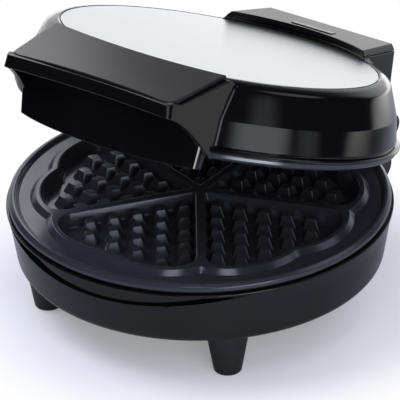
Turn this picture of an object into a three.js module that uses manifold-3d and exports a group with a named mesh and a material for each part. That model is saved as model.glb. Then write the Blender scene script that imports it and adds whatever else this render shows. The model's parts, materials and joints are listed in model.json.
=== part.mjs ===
// Heart waffle maker: a round countertop cooker whose lid opens on a hinge at the back.
// Millimetres, +Z up, handle towards -Y, hinge towards +Y, lid part open as it is at rest.
import * as THREE from 'three';
import { mergeVertices } from 'three/addons/utils/BufferGeometryUtils.js';
import Module from 'manifold-3d';

const wasm = await Module();
wasm.setup();

// Clearances and how finely round things are divided
const gap = 0.3;
const runningGap = 0.4;
const overrun = 3;
const wall = 2.5;
const roundSteps = 36;
const dishSteps = 20;
const smallSteps = 16;
const screwSteps = 6;
const bossSteps = 12;
const weld = 1e-4;

// Cooking plate, in a frame whose zero height is the crest of its round lip
const plate = {
  radius: 104,
  lipWidth: 3,
  lipSide: 3.6,
  crestLift: 63.3,
  troughDepth: 2.3,
  ridgeRise: 0.5,
  closedGap: 0.4,
  cavityDepth: 8.8,
  floorThickness: 3,
  flangeDrop: 5.7,
  flangeInset: 2,
  bowlInset: 15,
  bossRadius: 4.6,
  bossCircle: 40,
  bossDrop: 12.4,
};
plate.crestRadius = plate.radius - plate.lipWidth;
plate.flangeRadius = plate.radius - plate.flangeInset;
plate.bowlRadius = plate.radius - plate.bowlInset;
plate.cavityFloor = plate.ridgeRise - plate.cavityDepth;
plate.back = plate.cavityFloor - plate.floorThickness;

// Heart moulds: five in a circle with their tips at the middle
const heart = {
  count: 5,
  dividerHalf: 2.4,
  lobeRadius: 38.5,
  lobeCentre: 48,
  lobeAngle: 17.5,
  cornerRadius: 11,
  draft: 2.4,
  crestBand: 1.5,
  rampWidth: 6.2,
  lobeSteps: 3,
  cornerSteps: 3,
};
heart.sector = Math.PI / heart.count;

// Studs of one mould stand on a grid that runs along the mould's two straight sides
const stud = { pitch: 13.3, first: 14.7, base: 9.6, top: 5.2, height: 6, reach: 4, diagonal: 5, root: 0.5 };

// Lower housing: a shallow bowl on four feet
const base = {
  rimMargin: 1.3,
  rimHeight: 57.9,
  rimBand: 0.9,
  rimRound: 0.4,
  floorHeight: 25.7,
  seatMargin: 1.3,
  seatWidth: 4.9,
  seatThickness: 2.2,
  middleInset: 1.8,
  middleHeight: 50,
  turnInset: 4.8,
  turnHeight: 30.5,
  cornerInset: 6.4,
  cornerHeight: 27.4,
  flatInset: 10.8,
};
base.rimRadius = plate.radius + base.rimMargin;
base.seatRadius = plate.flangeRadius + base.seatMargin;
base.seatInner = base.seatRadius - base.seatWidth;
base.seatHeight = plate.crestLift - plate.flangeDrop - gap;
base.middleRadius = base.rimRadius - base.middleInset;
base.turnRadius = base.rimRadius - base.turnInset;
base.cornerRadius = base.rimRadius - base.cornerInset;
base.flatRadius = base.rimRadius - base.flatInset;

// Hinge: the axis lies level with the plane where the two plates meet
const hinge = {
  setback: 11.1,
  z: 65.5,
  openAngle: 19.74,
  barrelRadius: 6.6,
  pinRadius: 3,
  pinClearance: 0.35,
  earOuter: 44.5,
  lugThickness: 4.6,
  lugBlind: 1.4,
};
hinge.y = base.rimRadius + hinge.setback;
hinge.lugInner = hinge.earOuter + runningGap;
hinge.lugOuter = hinge.lugInner + hinge.lugThickness;

// Finger recess in the front of the lower housing, under its rim
const scoop = { depth: 10.5, lip: 1.6, arcRadius: 360, backInset: 4, backing: 1.8, backingDrop: 3 };
scoop.backRadius = base.rimRadius - scoop.backInset;

// Turret at the back of the lower housing that carries the hinge barrel
const turret = { overlap: 12.3, backTop: 38, topDrop: 0.8, skin: 3, steps: 5, holeDepth: 8 };
turret.front = base.rimRadius - turret.overlap;
turret.halfWidth = hinge.earOuter;
turret.back = hinge.y + hinge.barrelRadius;

// Feet and their screws
const foot = { inset: 20.6, angle: 45, topRadius: 11.8, endRadius: 7.7, tipRadius: 6.9, round: 1.4 };
foot.circle = base.rimRadius - foot.inset;
foot.height = base.floorHeight - gap;
foot.web = 6;
const screw = { shaftRadius: 1.9, headRadius: 3.5, headHeight: 2.4, holeRadius: 2.25, wellRadius: 4.1 };
const footBoss = { radius: 5, height: 7 };

// Inner stack under the lower plate, repeated upside down above the upper plate
const heater = {
  ringRadius: 60,
  tubeRadius: 3.3,
  legX: 10,
  legReach: 82,
  legStart: 72,
  openAngle: 24,
  sides: 6,
  steps: 24,
};
const bracket = { length: 136, width: 14, thickness: 2, cornerRadius: 4 };
const shield = { inset: 3, thickness: 1, rim: 4, round: 0.8, wireHole: 6, wireHoleY: 56 };
shield.radius = plate.bowlRadius - shield.inset;
const pillar = { radius: 6.4, ledge: 5.5 };
const fuse = { radius: 2.4, length: 14, x: 26, y: 32, leadRadius: 0.7, lead: 6 };
const block = { length: 28, width: 13, height: 9, y: 66, bore: 2, ways: 3, pitch: 8, bank: 5 };
const gland = { radius: 4.9, boreRadius: 3.8, flangeRadius: 7.4, flange: 2.4, height: 43, inner: 3 };
const vent = { length: 24, width: 3, count: 6, pitch: 8 };

// Lid housing, in a frame whose zero height is the face of the steel disc
const lid = {
  plateDrop: 40.1,
  discInset: 17.5,
  discThickness: 0.8,
  discMargin: 0.9,
  roundWidth: 1.6,
  shoulderWidth: 6.1,
  shoulderDrop: 2.3,
  coneTopWidth: 8.7,
  coneTopDrop: 6,
  creaseInset: 3.5,
  creaseDrop: 19.5,
  bandInset: 1,
  bandDrop: 32.7,
  grooveDepth: 0.8,
  flangeTop: 34.5,
  flangeBottom: 36.2,
  flangeEdge: 0.5,
  seatThickness: 2.2,
};
lid.discRadius = plate.radius - lid.discInset;
lid.roundTop = lid.discRadius + lid.roundWidth;
lid.shoulderRadius = lid.discRadius + lid.shoulderWidth;
lid.coneTopRadius = lid.discRadius + lid.coneTopWidth;
lid.creaseRadius = plate.radius - lid.creaseInset;
lid.bandRadius = plate.radius - lid.bandInset;
lid.grooveRadius = lid.bandRadius - lid.grooveDepth;
lid.flangeRadius = base.rimRadius;
lid.closedHeight = plate.crestLift + 2 * plate.ridgeRise + plate.closedGap + lid.plateDrop;
lid.seatHeight = -lid.plateDrop + plate.flangeDrop + gap;
lid.discSeat = lid.discThickness + gap;
lid.boreRadius = lid.discRadius + lid.discMargin;
lid.ceiling = lid.discSeat + wall;
const hingeInLid = { y: hinge.y, z: hinge.z - lid.closedHeight };

// Handle cover: the sloping panel over the handle block
const cover = {
  lap: 10,
  backZ: 2.7,
  reach: 13.4,
  frontZ: -11,
  backHalf: 54.5,
  frontHalf: 51.3,
  backBow: 3.6,
  frontBow: 3.4,
  cornerRadius: 6.5,
  thickness: 2.2,
  bowSteps: 8,
  cornerSteps: 5,
};
cover.backY = cover.lap - lid.discRadius;
cover.frontY = -base.rimRadius - cover.reach;
cover.slope = Math.atan2(cover.backZ - cover.frontZ, cover.backY - cover.frontY);
cover.run = Math.hypot(cover.backZ - cover.frontZ, cover.backY - cover.frontY);

// Handle block moulded onto the lid housing, with its finger recess
const handle = {
  margin: 1.1,
  lipReach: 3.9,
  lipTop: -16.4,
  lipBottom: -18.2,
  lipSteps: 3,
  noseReach: 0.9,
  finRun: 39.6,
  finZ: -43,
  kneeRun: 17.1,
  kneeZ: -20,
  finSteps: 6,
  innerLap: 7.5,
  innerZ: -3.2,
  finThickness: 3.4,
  lipThickness: 4,
  recessRise: 2,
  bow: 5,
  cornerRadius: 6,
  hollowSetback: 10.7,
  hollowFloor: 2.4,
  hollowMargin: 0.5,
  sideSlope: 0.155,
  sideDraft: 0.092,
  spread: 64,
  spreadSteps: 8,
};
handle.frontHalf = cover.frontHalf + handle.margin;
handle.noseY = cover.frontY - handle.noseReach;
handle.lipY = cover.frontY - handle.lipReach;
handle.kneeY = handle.lipY + handle.kneeRun;
handle.finY = handle.lipY + handle.finRun;
handle.innerY = cover.backY + handle.innerLap;
handle.hollowFront = handle.lipY + handle.hollowSetback;
handle.hollowBack = lid.creaseRadius + handle.hollowMargin;

// Curved wall that hangs in front of the plates below the handle, wider and further out at its top
const apron = {
  margin: 2.9,
  halfWidth: 57,
  bottom: 46,
  top: 18,
  round: 4,
  leanShare: 0.107,
  sideInset: 1,
  steps: 9,
};
apron.reach = base.rimRadius + apron.margin;
apron.inner = plate.radius + 2 * gap;

// Hinge block at the back of the lid, closed on top by its own cover
const rear = {
  arcWall: 2.5,
  nearY: 60,
  nearSpread: 4.2,
  backInset: 4.4,
  backLean: 1.6,
  topFront: 4.9,
  topBack: 6.3,
  topRun: 36.7,
  topHalf: 40.9,
  seamHalf: 43.3,
  bendHalf: 45,
  bend: -24,
  bayTop: -31.4,
  floor: 2.9,
  coverThickness: 3.2,
  skirt: 5,
  skirtFoot: 1,
  skirtReach: 5.6,
};
rear.innerRadius = lid.boreRadius + gap;
rear.backY = hinge.y - rear.backInset;
rear.foot = hingeInLid.z;
rear.seam = rear.topBack - rear.coverThickness;
rear.slope = (rear.topBack - rear.topFront) / rear.topRun;
const lens = { length: 27, width: 5, setback: 18.6, rise: 0.4, depth: 4 };
lens.y = rear.backY - lens.setback;
const lamp = { radius: 2.4, length: 11, spacing: 6.5 };
const holder = {
  halfLength: 15,
  lap: 2.9,
  backGap: 5,
  top: -10.5,
  thickness: 2,
  postRadius: 2.2,
  postX: 11,
  postGap: 8,
};
const thermostat = { radius: 9, height: 7, y: -30, capHeight: 2.5, capRadius: 6 };

// Heights of the stack under the lower plate, shared by the upper one upside down
const stack = { plateBack: plate.crestLift + plate.back };
stack.bossEnd = stack.plateBack - plate.bossDrop;
stack.shieldTop = stack.bossEnd - gap;
stack.shieldBottom = stack.shieldTop - shield.thickness;
stack.pillarTop = stack.shieldBottom - gap;
stack.wellEnd = stack.pillarTop - pillar.ledge;
stack.heaterHeight = stack.plateBack - gap - heater.tubeRadius;
stack.bracketTop = stack.heaterHeight - heater.tubeRadius - gap;

const colours = {
  gloss: { color: 0x0b0b0d, roughness: 0.12, metalness: 0 },
  satin: { color: 0x4a484e, roughness: 0.38, metalness: 0 },
  coated: { color: 0x32323c, roughness: 0.42, metalness: 0.3 },
  steel: { color: 0xe2e3e6, roughness: 0.3, metalness: 0.9 },
  zinc: { color: 0x9fa3a8, roughness: 0.45, metalness: 0.9 },
  heater: { color: 0x6d6a66, roughness: 0.55, metalness: 0.8 },
  shield: { color: 0xb4b8bd, roughness: 0.35, metalness: 0.9 },
  matte: { color: 0x101011, roughness: 0.5, metalness: 0 },
  rubber: { color: 0x131314, roughness: 0.75, metalness: 0 },
  ceramic: { color: 0xe9e4d8, roughness: 0.6, metalness: 0 },
  lens: { color: 0xc9ccd2, roughness: 0.15, metalness: 0 },
  red: { color: 0xc42a1c, roughness: 0.2, metalness: 0 },
  green: { color: 0x2f9a46, roughness: 0.2, metalness: 0 },
};

const radians = THREE.MathUtils.degToRad;

// Turns a closed triangle mesh into a solid whose faces point out
function solid(geometry) {
  const bare = geometry.clone();
  for (const name of Object.keys(bare.attributes)) {
    if (name !== 'position') bare.deleteAttribute(name);
  }
  const merged = mergeVertices(bare, weld);
  const spots = merged.attributes.position.array;
  const index = merged.index.array;
  const kept = [];
  for (let i = 0; i < index.length; i += 3) {
    const [a, b, c] = [index[i], index[i + 1], index[i + 2]];
    if (a !== b && b !== c && c !== a) kept.push(a, b, c);
  }
  const corner = (n) => new THREE.Vector3().fromArray(spots, n * 3);
  let volume = 0;
  for (let i = 0; i < kept.length; i += 3) {
    volume += corner(kept[i]).dot(corner(kept[i + 1]).cross(corner(kept[i + 2])));
  }
  if (volume < 0) {
    for (let i = 0; i < kept.length; i += 3) [kept[i + 1], kept[i + 2]] = [kept[i + 2], kept[i + 1]];
  }
  const mesh = new wasm.Mesh({
    numProp: 3,
    vertProperties: new Float32Array(spots),
    triVerts: new Uint32Array(kept),
  });
  return new wasm.Manifold(mesh);
}

function geometryOf(manifold) {
  const mesh = manifold.getMesh();
  const geometry = new THREE.BufferGeometry();
  geometry.setAttribute('position', new THREE.BufferAttribute(new Float32Array(mesh.vertProperties), 3));
  geometry.setIndex(new THREE.BufferAttribute(new Uint32Array(mesh.triVerts), 1));
  geometry.computeVertexNormals();
  return geometry;
}

const join = (...parts) => parts.reduce((sum, part) => sum.add(part));
const cut = (body, ...tools) => tools.reduce((sum, tool) => sum.subtract(tool), body);

function moved(body, matrix) {
  const mesh = body.getMesh();
  const spots = new THREE.BufferAttribute(new Float32Array(mesh.vertProperties), 3).applyMatrix4(matrix);
  const skin = new wasm.Mesh({ numProp: 3, vertProperties: spots.array, triVerts: mesh.triVerts });
  return new wasm.Manifold(skin);
}

const at = (body, x, y, z) => moved(body, new THREE.Matrix4().makeTranslation(x, y, z));
const copies = (body, places) => places.map(([x, y]) => at(body, x, y, 0));
const aboutX = (body, angle) => moved(body, new THREE.Matrix4().makeRotationX(angle));
const aboutZ = (body, angle) => moved(body, new THREE.Matrix4().makeRotationZ(angle));

// Turns what was drawn along +Z to lie along +X, with its own X along +Y
const alongX = (body) => moved(body, new THREE.Matrix4().set(0, 0, 1, 0, 1, 0, 0, 0, 0, 1, 0, 0, 0, 0, 0, 1));

// A profile of [radius, height] pairs turned about Z
function turned(profile, steps = roundSteps) {
  const points = profile.map(([r, z]) => new THREE.Vector2(r, z));
  const onAxis = profile[0][0] === 0 && profile[profile.length - 1][0] === 0;
  if (!onAxis) points.push(points[0].clone());
  const geometry = new THREE.LatheGeometry(points, steps, 0);
  geometry.rotateX(Math.PI / 2);
  return solid(geometry);
}

// A round bar from one height to another
const bar = (radius, bottom, top, steps = smallSteps) =>
  turned([[0, bottom], [radius, bottom], [radius, top], [0, top]], steps);

// A round bar along X
function barAlongX(radius, from, to, y, z, steps = smallSteps) {
  return at(alongX(bar(radius, from, to, steps)), 0, y, z);
}

const plank = (x0, x1, y0, y1, z0, z1) =>
  at(solid(new THREE.BoxGeometry(x1 - x0, y1 - y0, z1 - z0)), (x0 + x1) / 2, (y0 + y1) / 2, (z0 + z1) / 2);

// An outline of [x, y] pairs raised along Z
function raised(outline, bottom, top) {
  const shape = new THREE.Shape(outline.map(([x, y]) => new THREE.Vector2(x, y)));
  const geometry = new THREE.ExtrudeGeometry(shape, { depth: top - bottom, bevelEnabled: false, steps: 1 });
  geometry.translate(0, 0, bottom);
  return solid(geometry);
}

// An outline of [y, z] pairs drawn out along X
function drawnAlongX(outline, from, to) {
  return alongX(raised(outline, from, to));
}

// Skins rings of equal point counts, one above the other, and closes both ends
function lofted(rings) {
  const count = rings[0].length;
  const spots = rings.flat(2);
  const index = [];
  for (let level = 0; level + 1 < rings.length; level += 1) {
    for (let i = 0; i < count; i += 1) {
      const j = (i + 1) % count;
      const [a, b] = [level * count + i, level * count + j];
      index.push(a, b, b + count, a, b + count, a + count);
    }
  }
  const flat = (ring) => ring.map(([x, y]) => new THREE.Vector2(x, y));
  for (const [a, b, c] of THREE.ShapeUtils.triangulateShape(flat(rings[0]), [])) index.push(c, b, a);
  const last = (rings.length - 1) * count;
  for (const [a, b, c] of THREE.ShapeUtils.triangulateShape(flat(rings[rings.length - 1]), [])) {
    index.push(last + a, last + b, last + c);
  }
  const geometry = new THREE.BufferGeometry();
  geometry.setAttribute('position', new THREE.Float32BufferAttribute(spots, 3));
  geometry.setIndex(index);
  return solid(geometry);
}

const polar = (radius, angle) => [radius * Math.sin(angle), -radius * Math.cos(angle)];

// Points of an arc about a centre, from one angle to another
function arc([cx, cy], radius, from, to, steps) {
  const points = [];
  for (let i = 0; i <= steps; i += 1) {
    const turn = from + ((to - from) * i) / steps;
    points.push([cx + radius * Math.cos(turn), cy + radius * Math.sin(turn)]);
  }
  return points;
}

// Outline of one heart mould about the X axis, its tip at the middle of the plate.
// inset draws every wall in towards the middle of the mould, for the mould's floor.
function heartOutline(inset) {
  const side = heart.dividerHalf + inset;
  const lobe = heart.lobeRadius - inset;
  const corner = heart.cornerRadius - inset;
  const tilt = radians(heart.lobeAngle);
  const along = new THREE.Vector2(Math.cos(heart.sector), Math.sin(heart.sector));
  const inward = new THREE.Vector2(along.y, -along.x);
  const lobeMiddle = new THREE.Vector2(Math.cos(tilt), Math.sin(tilt)).multiplyScalar(heart.lobeCentre);
  const start = inward.clone().multiplyScalar(side + corner).sub(lobeMiddle);
  const half = start.dot(along);
  const reach = Math.sqrt(half * half - start.lengthSq() + (lobe - corner) ** 2) - half;
  const cornerMiddle = inward.clone().multiplyScalar(side + corner).addScaledVector(along, reach);
  const toLobe = cornerMiddle.clone().sub(lobeMiddle).angle();
  const toSide = heart.sector + Math.PI / 2;
  const notch = Math.sqrt(lobe ** 2 - lobeMiddle.y ** 2);
  const toNotch = Math.atan2(-lobeMiddle.y, notch);
  const upper = [
    [side / Math.sin(heart.sector), 0],
    ...arc(cornerMiddle.toArray(), corner, toSide, toLobe, heart.cornerSteps),
    ...arc(lobeMiddle.toArray(), lobe, toLobe, toNotch, heart.lobeSteps).slice(1),
  ];
  const lower = upper.slice(1, -1).map(([x, y]) => [x, -y]).reverse();
  return [...upper, ...lower].reverse();
}

// Outline that runs round all the moulds' lobes at a set distance, with a corner at each meeting
function scallop(offset) {
  const tilt = radians(heart.lobeAngle);
  const lobe = heart.lobeRadius + offset;
  const points = [];
  for (let mould = 0; mould < heart.count; mould += 1) {
    for (const hand of [-1, 1]) {
      const middle = mould * 2 * heart.sector + hand * tilt;
      const low = hand < 0 ? -heart.sector + tilt : -tilt;
      const high = hand < 0 ? tilt : heart.sector - tilt;
      for (let i = 0; i < heart.lobeSteps; i += 1) {
        const swing = low + ((high - low) * i) / heart.lobeSteps;
        const across = heart.lobeCentre * Math.sin(swing);
        const radius = heart.lobeCentre * Math.cos(swing) + Math.sqrt(lobe ** 2 - across ** 2);
        points.push(polar(radius, middle + swing));
      }
    }
  }
  return points;
}

const lifted = (outline, z) => outline.map(([x, y]) => [x, y, z]);

// Places a mould's own outline, drawn about X, at mould number n round the plate
function toMould(body, n) {
  return aboutZ(body, n * 2 * heart.sector - Math.PI / 2);
}

// Four-sided stud with sloping faces, its sides along the mould's two straight sides
function studAt(u, v) {
  const [c, s] = [Math.cos(heart.sector), Math.sin(heart.sector)];
  const ring = (size, z) => {
    const half = size / 2;
    const corners = [[-1, -1], [-1, 1], [1, 1], [1, -1]];
    return corners.map(([a, b]) => [u + (a + b) * c * half, v + (a - b) * s * half, z]);
  };
  const floor = plate.cavityFloor;
  return lofted([
    ring(stud.base, floor - stud.root),
    ring(stud.base, floor),
    ring(stud.top, floor + stud.height),
  ]);
}

function mouldStuds() {
  const studs = [];
  for (let i = 0; i <= stud.reach; i += 1) {
    for (let j = 0; j <= stud.reach && i + j <= stud.diagonal; j += 1) {
      const u = stud.first + stud.pitch * Math.cos(heart.sector) * (i + j);
      studs.push(studAt(u, stud.pitch * Math.sin(heart.sector) * (i - j)));
    }
  }
  return join(...studs);
}

// Places where the screws of a plate stand: between the moulds, near the dividers' inner ends
function bossPlaces() {
  const places = [];
  for (const mould of [0, 2, 4]) places.push(polar(plate.bossCircle, (2 * mould + 1) * heart.sector));
  return places;
}

function cookingPlate() {
  const { crestRadius, radius, troughDepth, flangeDrop, lipSide } = plate;
  const lip = radius - crestRadius;
  let body = turned([
    [0, plate.back],
    [plate.bowlRadius, plate.back],
    [plate.bowlRadius + wall / 2, -flangeDrop],
    [plate.flangeRadius, -flangeDrop],
    [radius, -lipSide],
    [radius - lip / 4, -lipSide / 4],
    [crestRadius, 0],
    [crestRadius - lip * 0.8, -troughDepth],
    [0, -troughDepth],
  ]);
  const spread = heart.rampWidth / (plate.ridgeRise + troughDepth);
  const buried = -troughDepth - wall / 4;
  const root = scallop(heart.crestBand + spread * (plate.ridgeRise - buried));
  body = join(body, lofted([lifted(root, buried), lifted(scallop(heart.crestBand), plate.ridgeRise)]));
  const slope = heart.draft / plate.cavityDepth;
  const mould = lofted([
    lifted(heartOutline(heart.draft), plate.cavityFloor),
    lifted(heartOutline(-slope * overrun), plate.ridgeRise + overrun),
  ]);
  const studs = mouldStuds();
  const round = [...Array(heart.count).keys()];
  const boss = bar(plate.bossRadius, plate.back - plate.bossDrop, plate.back + wall, bossSteps);
  const middleFoot = plate.back - 2 * heater.tubeRadius - gap;
  const middleBoss = bar(plate.bossRadius, middleFoot, plate.back + wall, bossSteps);
  body = join(body, join(middleBoss, ...copies(boss, bossPlaces())));
  const pilotFoot = plate.back - plate.bossDrop - overrun;
  const pilot = bar(screw.holeRadius, pilotFoot, plate.back + wall / 2, screwSteps);
  const pilots = join(pilot, ...copies(pilot, bossPlaces()));
  body = cut(body, join(pilots, ...round.map((n) => toMould(mould, n))));
  return join(body, join(...round.map((n) => toMould(studs, n))));
}

function lowerHousing() {
  const { seatHeight, seatRadius, seatInner, seatThickness } = base;
  const inside = base.floorHeight + wall;
  const outline = [
    [0, base.floorHeight],
    [base.flatRadius, base.floorHeight],
    [base.cornerRadius, base.cornerHeight],
    [base.turnRadius, base.turnHeight],
    [base.middleRadius, base.middleHeight],
    [base.rimRadius, base.rimHeight - base.rimBand],
    [base.rimRadius, base.rimHeight - base.rimRound],
    [base.rimRadius - base.rimRound, base.rimHeight],
    [seatRadius, base.rimHeight],
  ];
  const hollow = turned([
    [0, inside],
    [base.flatRadius, inside],
    [base.turnRadius - wall, base.turnHeight + gap],
    [seatRadius - wall / 2, seatHeight - seatThickness - wall / 4],
    [seatInner, seatHeight - seatThickness],
    [seatInner, base.rimHeight + overrun],
    [0, base.rimHeight + overrun],
  ]);
  let body = join(turned([...outline, [seatRadius, seatHeight], [0, seatHeight]]), turretBlock());
  const scoopTop = base.rimHeight - scoop.lip;
  const scoopLow = base.rimHeight - scoop.depth;
  const rise = scoop.arcRadius - (scoopTop - scoopLow);
  const swing = Math.acos(rise / scoop.arcRadius);
  const turns = [-Math.PI / 2 - swing, -Math.PI / 2 + swing];
  const mouth = arc([0, scoopLow + scoop.arcRadius], scoop.arcRadius, ...turns, smallSteps);
  const opening = aboutX(raised(mouth, 0, base.rimRadius + overrun), Math.PI / 2);
  const back = bar(scoop.backRadius, 0, base.rimHeight, roundSteps);
  body = cut(body, hollow, turretHollow());
  const backingSpan = [scoopLow - scoop.backingDrop, seatHeight - seatThickness / 2];
  const backing = cut(
    bar(scoop.backRadius + scoop.backing / 3, ...backingSpan, roundSteps),
    bar(scoop.backRadius - scoop.backing, 0, base.rimHeight, roundSteps),
    plank(-base.rimRadius, base.rimRadius, -base.flatRadius / 2, base.rimRadius, 0, base.rimHeight),
  );
  body = cut(join(body, backing), cut(opening, back));
  const footPost = bar(footBoss.radius, inside - wall / 2, inside + footBoss.height, bossSteps);
  const post = bar(pillar.radius, inside - wall / 2, stack.pillarTop, bossSteps);
  const posts = [...copies(footPost, footPlaces()), ...copies(post, bossPlaces())];
  body = join(body, join(...posts));
  const under = base.floorHeight - overrun;
  const footPilot = bar(screw.holeRadius, under, inside + footBoss.height - wall / 2, screwSteps);
  const well = screwWell(under);
  const slots = [...copies(footPilot, footPlaces()), ...copies(well, bossPlaces())];
  for (let i = 0; i < vent.count; i += 1) {
    const x = (i - (vent.count - 1) / 2) * vent.pitch;
    const half = [vent.width / 2, vent.length / 2];
    slots.push(plank(x - half[0], x + half[0], -half[1], half[1], under, inside + overrun));
  }
  return cut(body, join(...slots));
}

function turretBlock() {
  const top = base.rimHeight - turret.topDrop;
  const sweep = ellipse(turret.back - turret.front, turret.backTop - base.floorHeight);
  const front = hinge.y - hinge.barrelRadius;
  const outline = [[turret.front, top], ...sweep, [turret.back, hinge.z], [front, hinge.z], [front, top]];
  const barrel = barAlongX(hinge.barrelRadius, -hinge.earOuter, hinge.earOuter, hinge.y, hinge.z);
  let body = join(drawnAlongX(outline, -turret.halfWidth, turret.halfWidth), barrel);
  const bore = hinge.pinRadius + hinge.pinClearance;
  for (const side of [-1, 1]) {
    const ends = [hinge.earOuter - turret.holeDepth, hinge.earOuter + overrun].map((x) => side * x);
    body = cut(body, barAlongX(bore, Math.min(...ends), Math.max(...ends), hinge.y, hinge.z));
  }
  return body;
}

// Quarter ellipse that carries the floor of the turret round into its back, from front to back
function ellipse(ry, rz) {
  const points = [];
  for (let i = 0; i <= turret.steps; i += 1) {
    const turn = (Math.PI / 2) * (i / turret.steps);
    points.push([turret.front + ry * Math.sin(turn), turret.backTop - rz * Math.cos(turn)]);
  }
  return points;
}

function turretHollow() {
  const top = base.rimHeight - turret.topDrop - turret.skin;
  const ry = turret.back - turret.front - turret.skin;
  const sweep = ellipse(ry, turret.backTop - base.floorHeight - turret.skin);
  const half = turret.halfWidth - turret.skin;
  const room = drawnAlongX([[turret.front, top], ...sweep, [turret.front + ry, top]], -half, half);
  const bore = aboutX(bar(gland.radius + gap, 0, hinge.y), -Math.PI / 2);
  return join(room, at(bore, 0, turret.front, gland.height));
}

const footPlaces = () =>
  [-1, 1].flatMap((side) => [1, 3].map((turn) => polar(foot.circle, side * turn * radians(foot.angle))));

// Countersunk well for a screw that passes up through the end of a pillar
function screwWell(bottom) {
  const well = bar(screw.wellRadius, bottom, stack.wellEnd, bossSteps);
  return join(well, bar(screw.holeRadius, bottom, stack.pillarTop + overrun, screwSteps));
}

// Screw with its head down: head under a given height, shaft rising from it
function screwUnder(height, top) {
  const { headRadius, headHeight, shaftRadius } = screw;
  const low = height - headHeight;
  const head = [[0, low], [headRadius, low], [headRadius, height]];
  const profile = [...head, [shaftRadius, height], [shaftRadius, top], [0, top]];
  return turned(profile, screwSteps);
}

function footBody() {
  const { round, height } = foot;
  const webBottom = height - foot.web;
  return turned([
    [screw.wellRadius, 0],
    [foot.tipRadius, 0],
    [foot.endRadius, round],
    [foot.topRadius, height],
    [screw.holeRadius, height],
    [screw.holeRadius, webBottom],
    [screw.wellRadius, webBottom],
  ], bossSteps);
}

function heaterRing() {
  const points = [];
  const spread = radians(heater.openAngle);
  const bends = smallSteps;
  for (const reach of [heater.legReach, heater.legStart]) points.push([-heater.legX, reach]);
  for (let i = 0; i <= bends; i += 1) {
    const turn = Math.PI - spread - ((2 * Math.PI - 2 * spread) * i) / bends;
    points.push(polar(heater.ringRadius, -turn));
  }
  for (const reach of [heater.legStart, heater.legReach]) points.push([heater.legX, reach]);
  const spots = points.map(([x, y]) => new THREE.Vector3(x, y, stack.heaterHeight));
  const path = new THREE.CatmullRomCurve3(spots);
  const ring = arc([0, 0], heater.tubeRadius, 0, 2 * Math.PI, heater.sides).slice(1);
  const shape = new THREE.Shape(ring.map(([x, y]) => new THREE.Vector2(x, y)));
  const options = { steps: heater.steps, bevelEnabled: false, extrudePath: path };
  return solid(new THREE.ExtrudeGeometry(shape, options));
}

function heaterBracket() {
  const top = stack.bracketTop;
  const [along, across, round] = [bracket.length / 2, bracket.width / 2, bracket.cornerRadius];
  const outline = [];
  [[1, 1], [-1, 1], [-1, -1], [1, -1]].forEach(([sx, sy], quarter) => {
    const middle = [sx * (along - round), sy * (across - round)];
    const start = (quarter * Math.PI) / 2;
    outline.push(...arc(middle, round, start, start + Math.PI / 2, 3));
  });
  const strip = raised(outline, top - bracket.thickness, top);
  return cut(strip, bar(screw.holeRadius, 0, base.rimHeight, screwSteps));
}

function heatShield() {
  const { radius, round, rim, thickness } = shield;
  const low = stack.shieldBottom;
  const high = stack.shieldTop;
  const dish = turned([
    [0, low],
    [radius - round, low],
    [radius, low + rim],
    [radius - thickness, low + rim],
    [radius - thickness - round, high],
    [0, high],
  ], dishSteps);
  const holes = copies(bar(screw.holeRadius, low - overrun, high + overrun, screwSteps), bossPlaces());
  return cut(dish, ...holes, at(bar(shield.wireHole, low - overrun, high + overrun), 0, shield.wireHoleY, 0));
}

function thermalFuse() {
  const reach = fuse.length / 2;
  const body = barAlongX(fuse.radius, -reach, reach, 0, 0, bossSteps);
  const leads = barAlongX(fuse.leadRadius, -reach - fuse.lead, reach + fuse.lead, 0, 0, screwSteps);
  return at(join(body, leads), fuse.x, fuse.y, stack.plateBack - gap - fuse.radius);
}

function terminalBlock() {
  const bottom = base.floorHeight + wall + gap;
  const half = [block.length / 2, block.width / 2];
  let body = plank(-half[0], half[0], -half[1], half[1], 0, block.height);
  const way = aboutX(bar(block.bore, -block.width, block.width, screwSteps), Math.PI / 2);
  const pole = bar(block.bore, block.height - block.bank, block.height + overrun, screwSteps);
  for (let i = 0; i < block.ways; i += 1) {
    const x = (i - (block.ways - 1) / 2) * block.pitch;
    body = cut(body, at(way, x, 0, block.height / 2), at(pole, x, 0, 0));
  }
  return at(body, 0, block.y, bottom);
}

function cordGland() {
  const outer = turret.back + gap;
  const shaft = turret.back - turret.skin - gland.inner;
  const profile = [
    [gland.boreRadius, shaft],
    [gland.radius, shaft],
    [gland.radius, outer],
    [gland.flangeRadius, outer],
    [gland.flangeRadius, outer + gland.flange * 0.6],
    [gland.flangeRadius - 1, outer + gland.flange],
    [gland.boreRadius, outer + gland.flange],
  ];
  return at(aboutX(turned(profile, bossSteps), -Math.PI / 2), 0, 0, gland.height);
}

function hingePin(side) {
  const inner = hinge.earOuter - turret.holeDepth + gap;
  const outer = hinge.lugOuter - hinge.lugBlind - gap;
  const [from, to] = side > 0 ? [inner, outer] : [-outer, -inner];
  return barAlongX(hinge.pinRadius, from, to, hinge.y, hinge.z);
}

// The upper stack is the lower one turned over: this is the height about which it turns, in the lid
const overheadLift = plate.crestLift - lid.plateDrop;

function overhead(body) {
  const turn = new THREE.Matrix4().makeRotationY(Math.PI).setPosition(0, 0, overheadLift);
  return moved(body, turn);
}

// Height of the handle cover's face above or below the disc, at a distance from the hinge
const coverHeight = (y) => cover.backZ + (y - cover.backY) * Math.tan(cover.slope);

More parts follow.
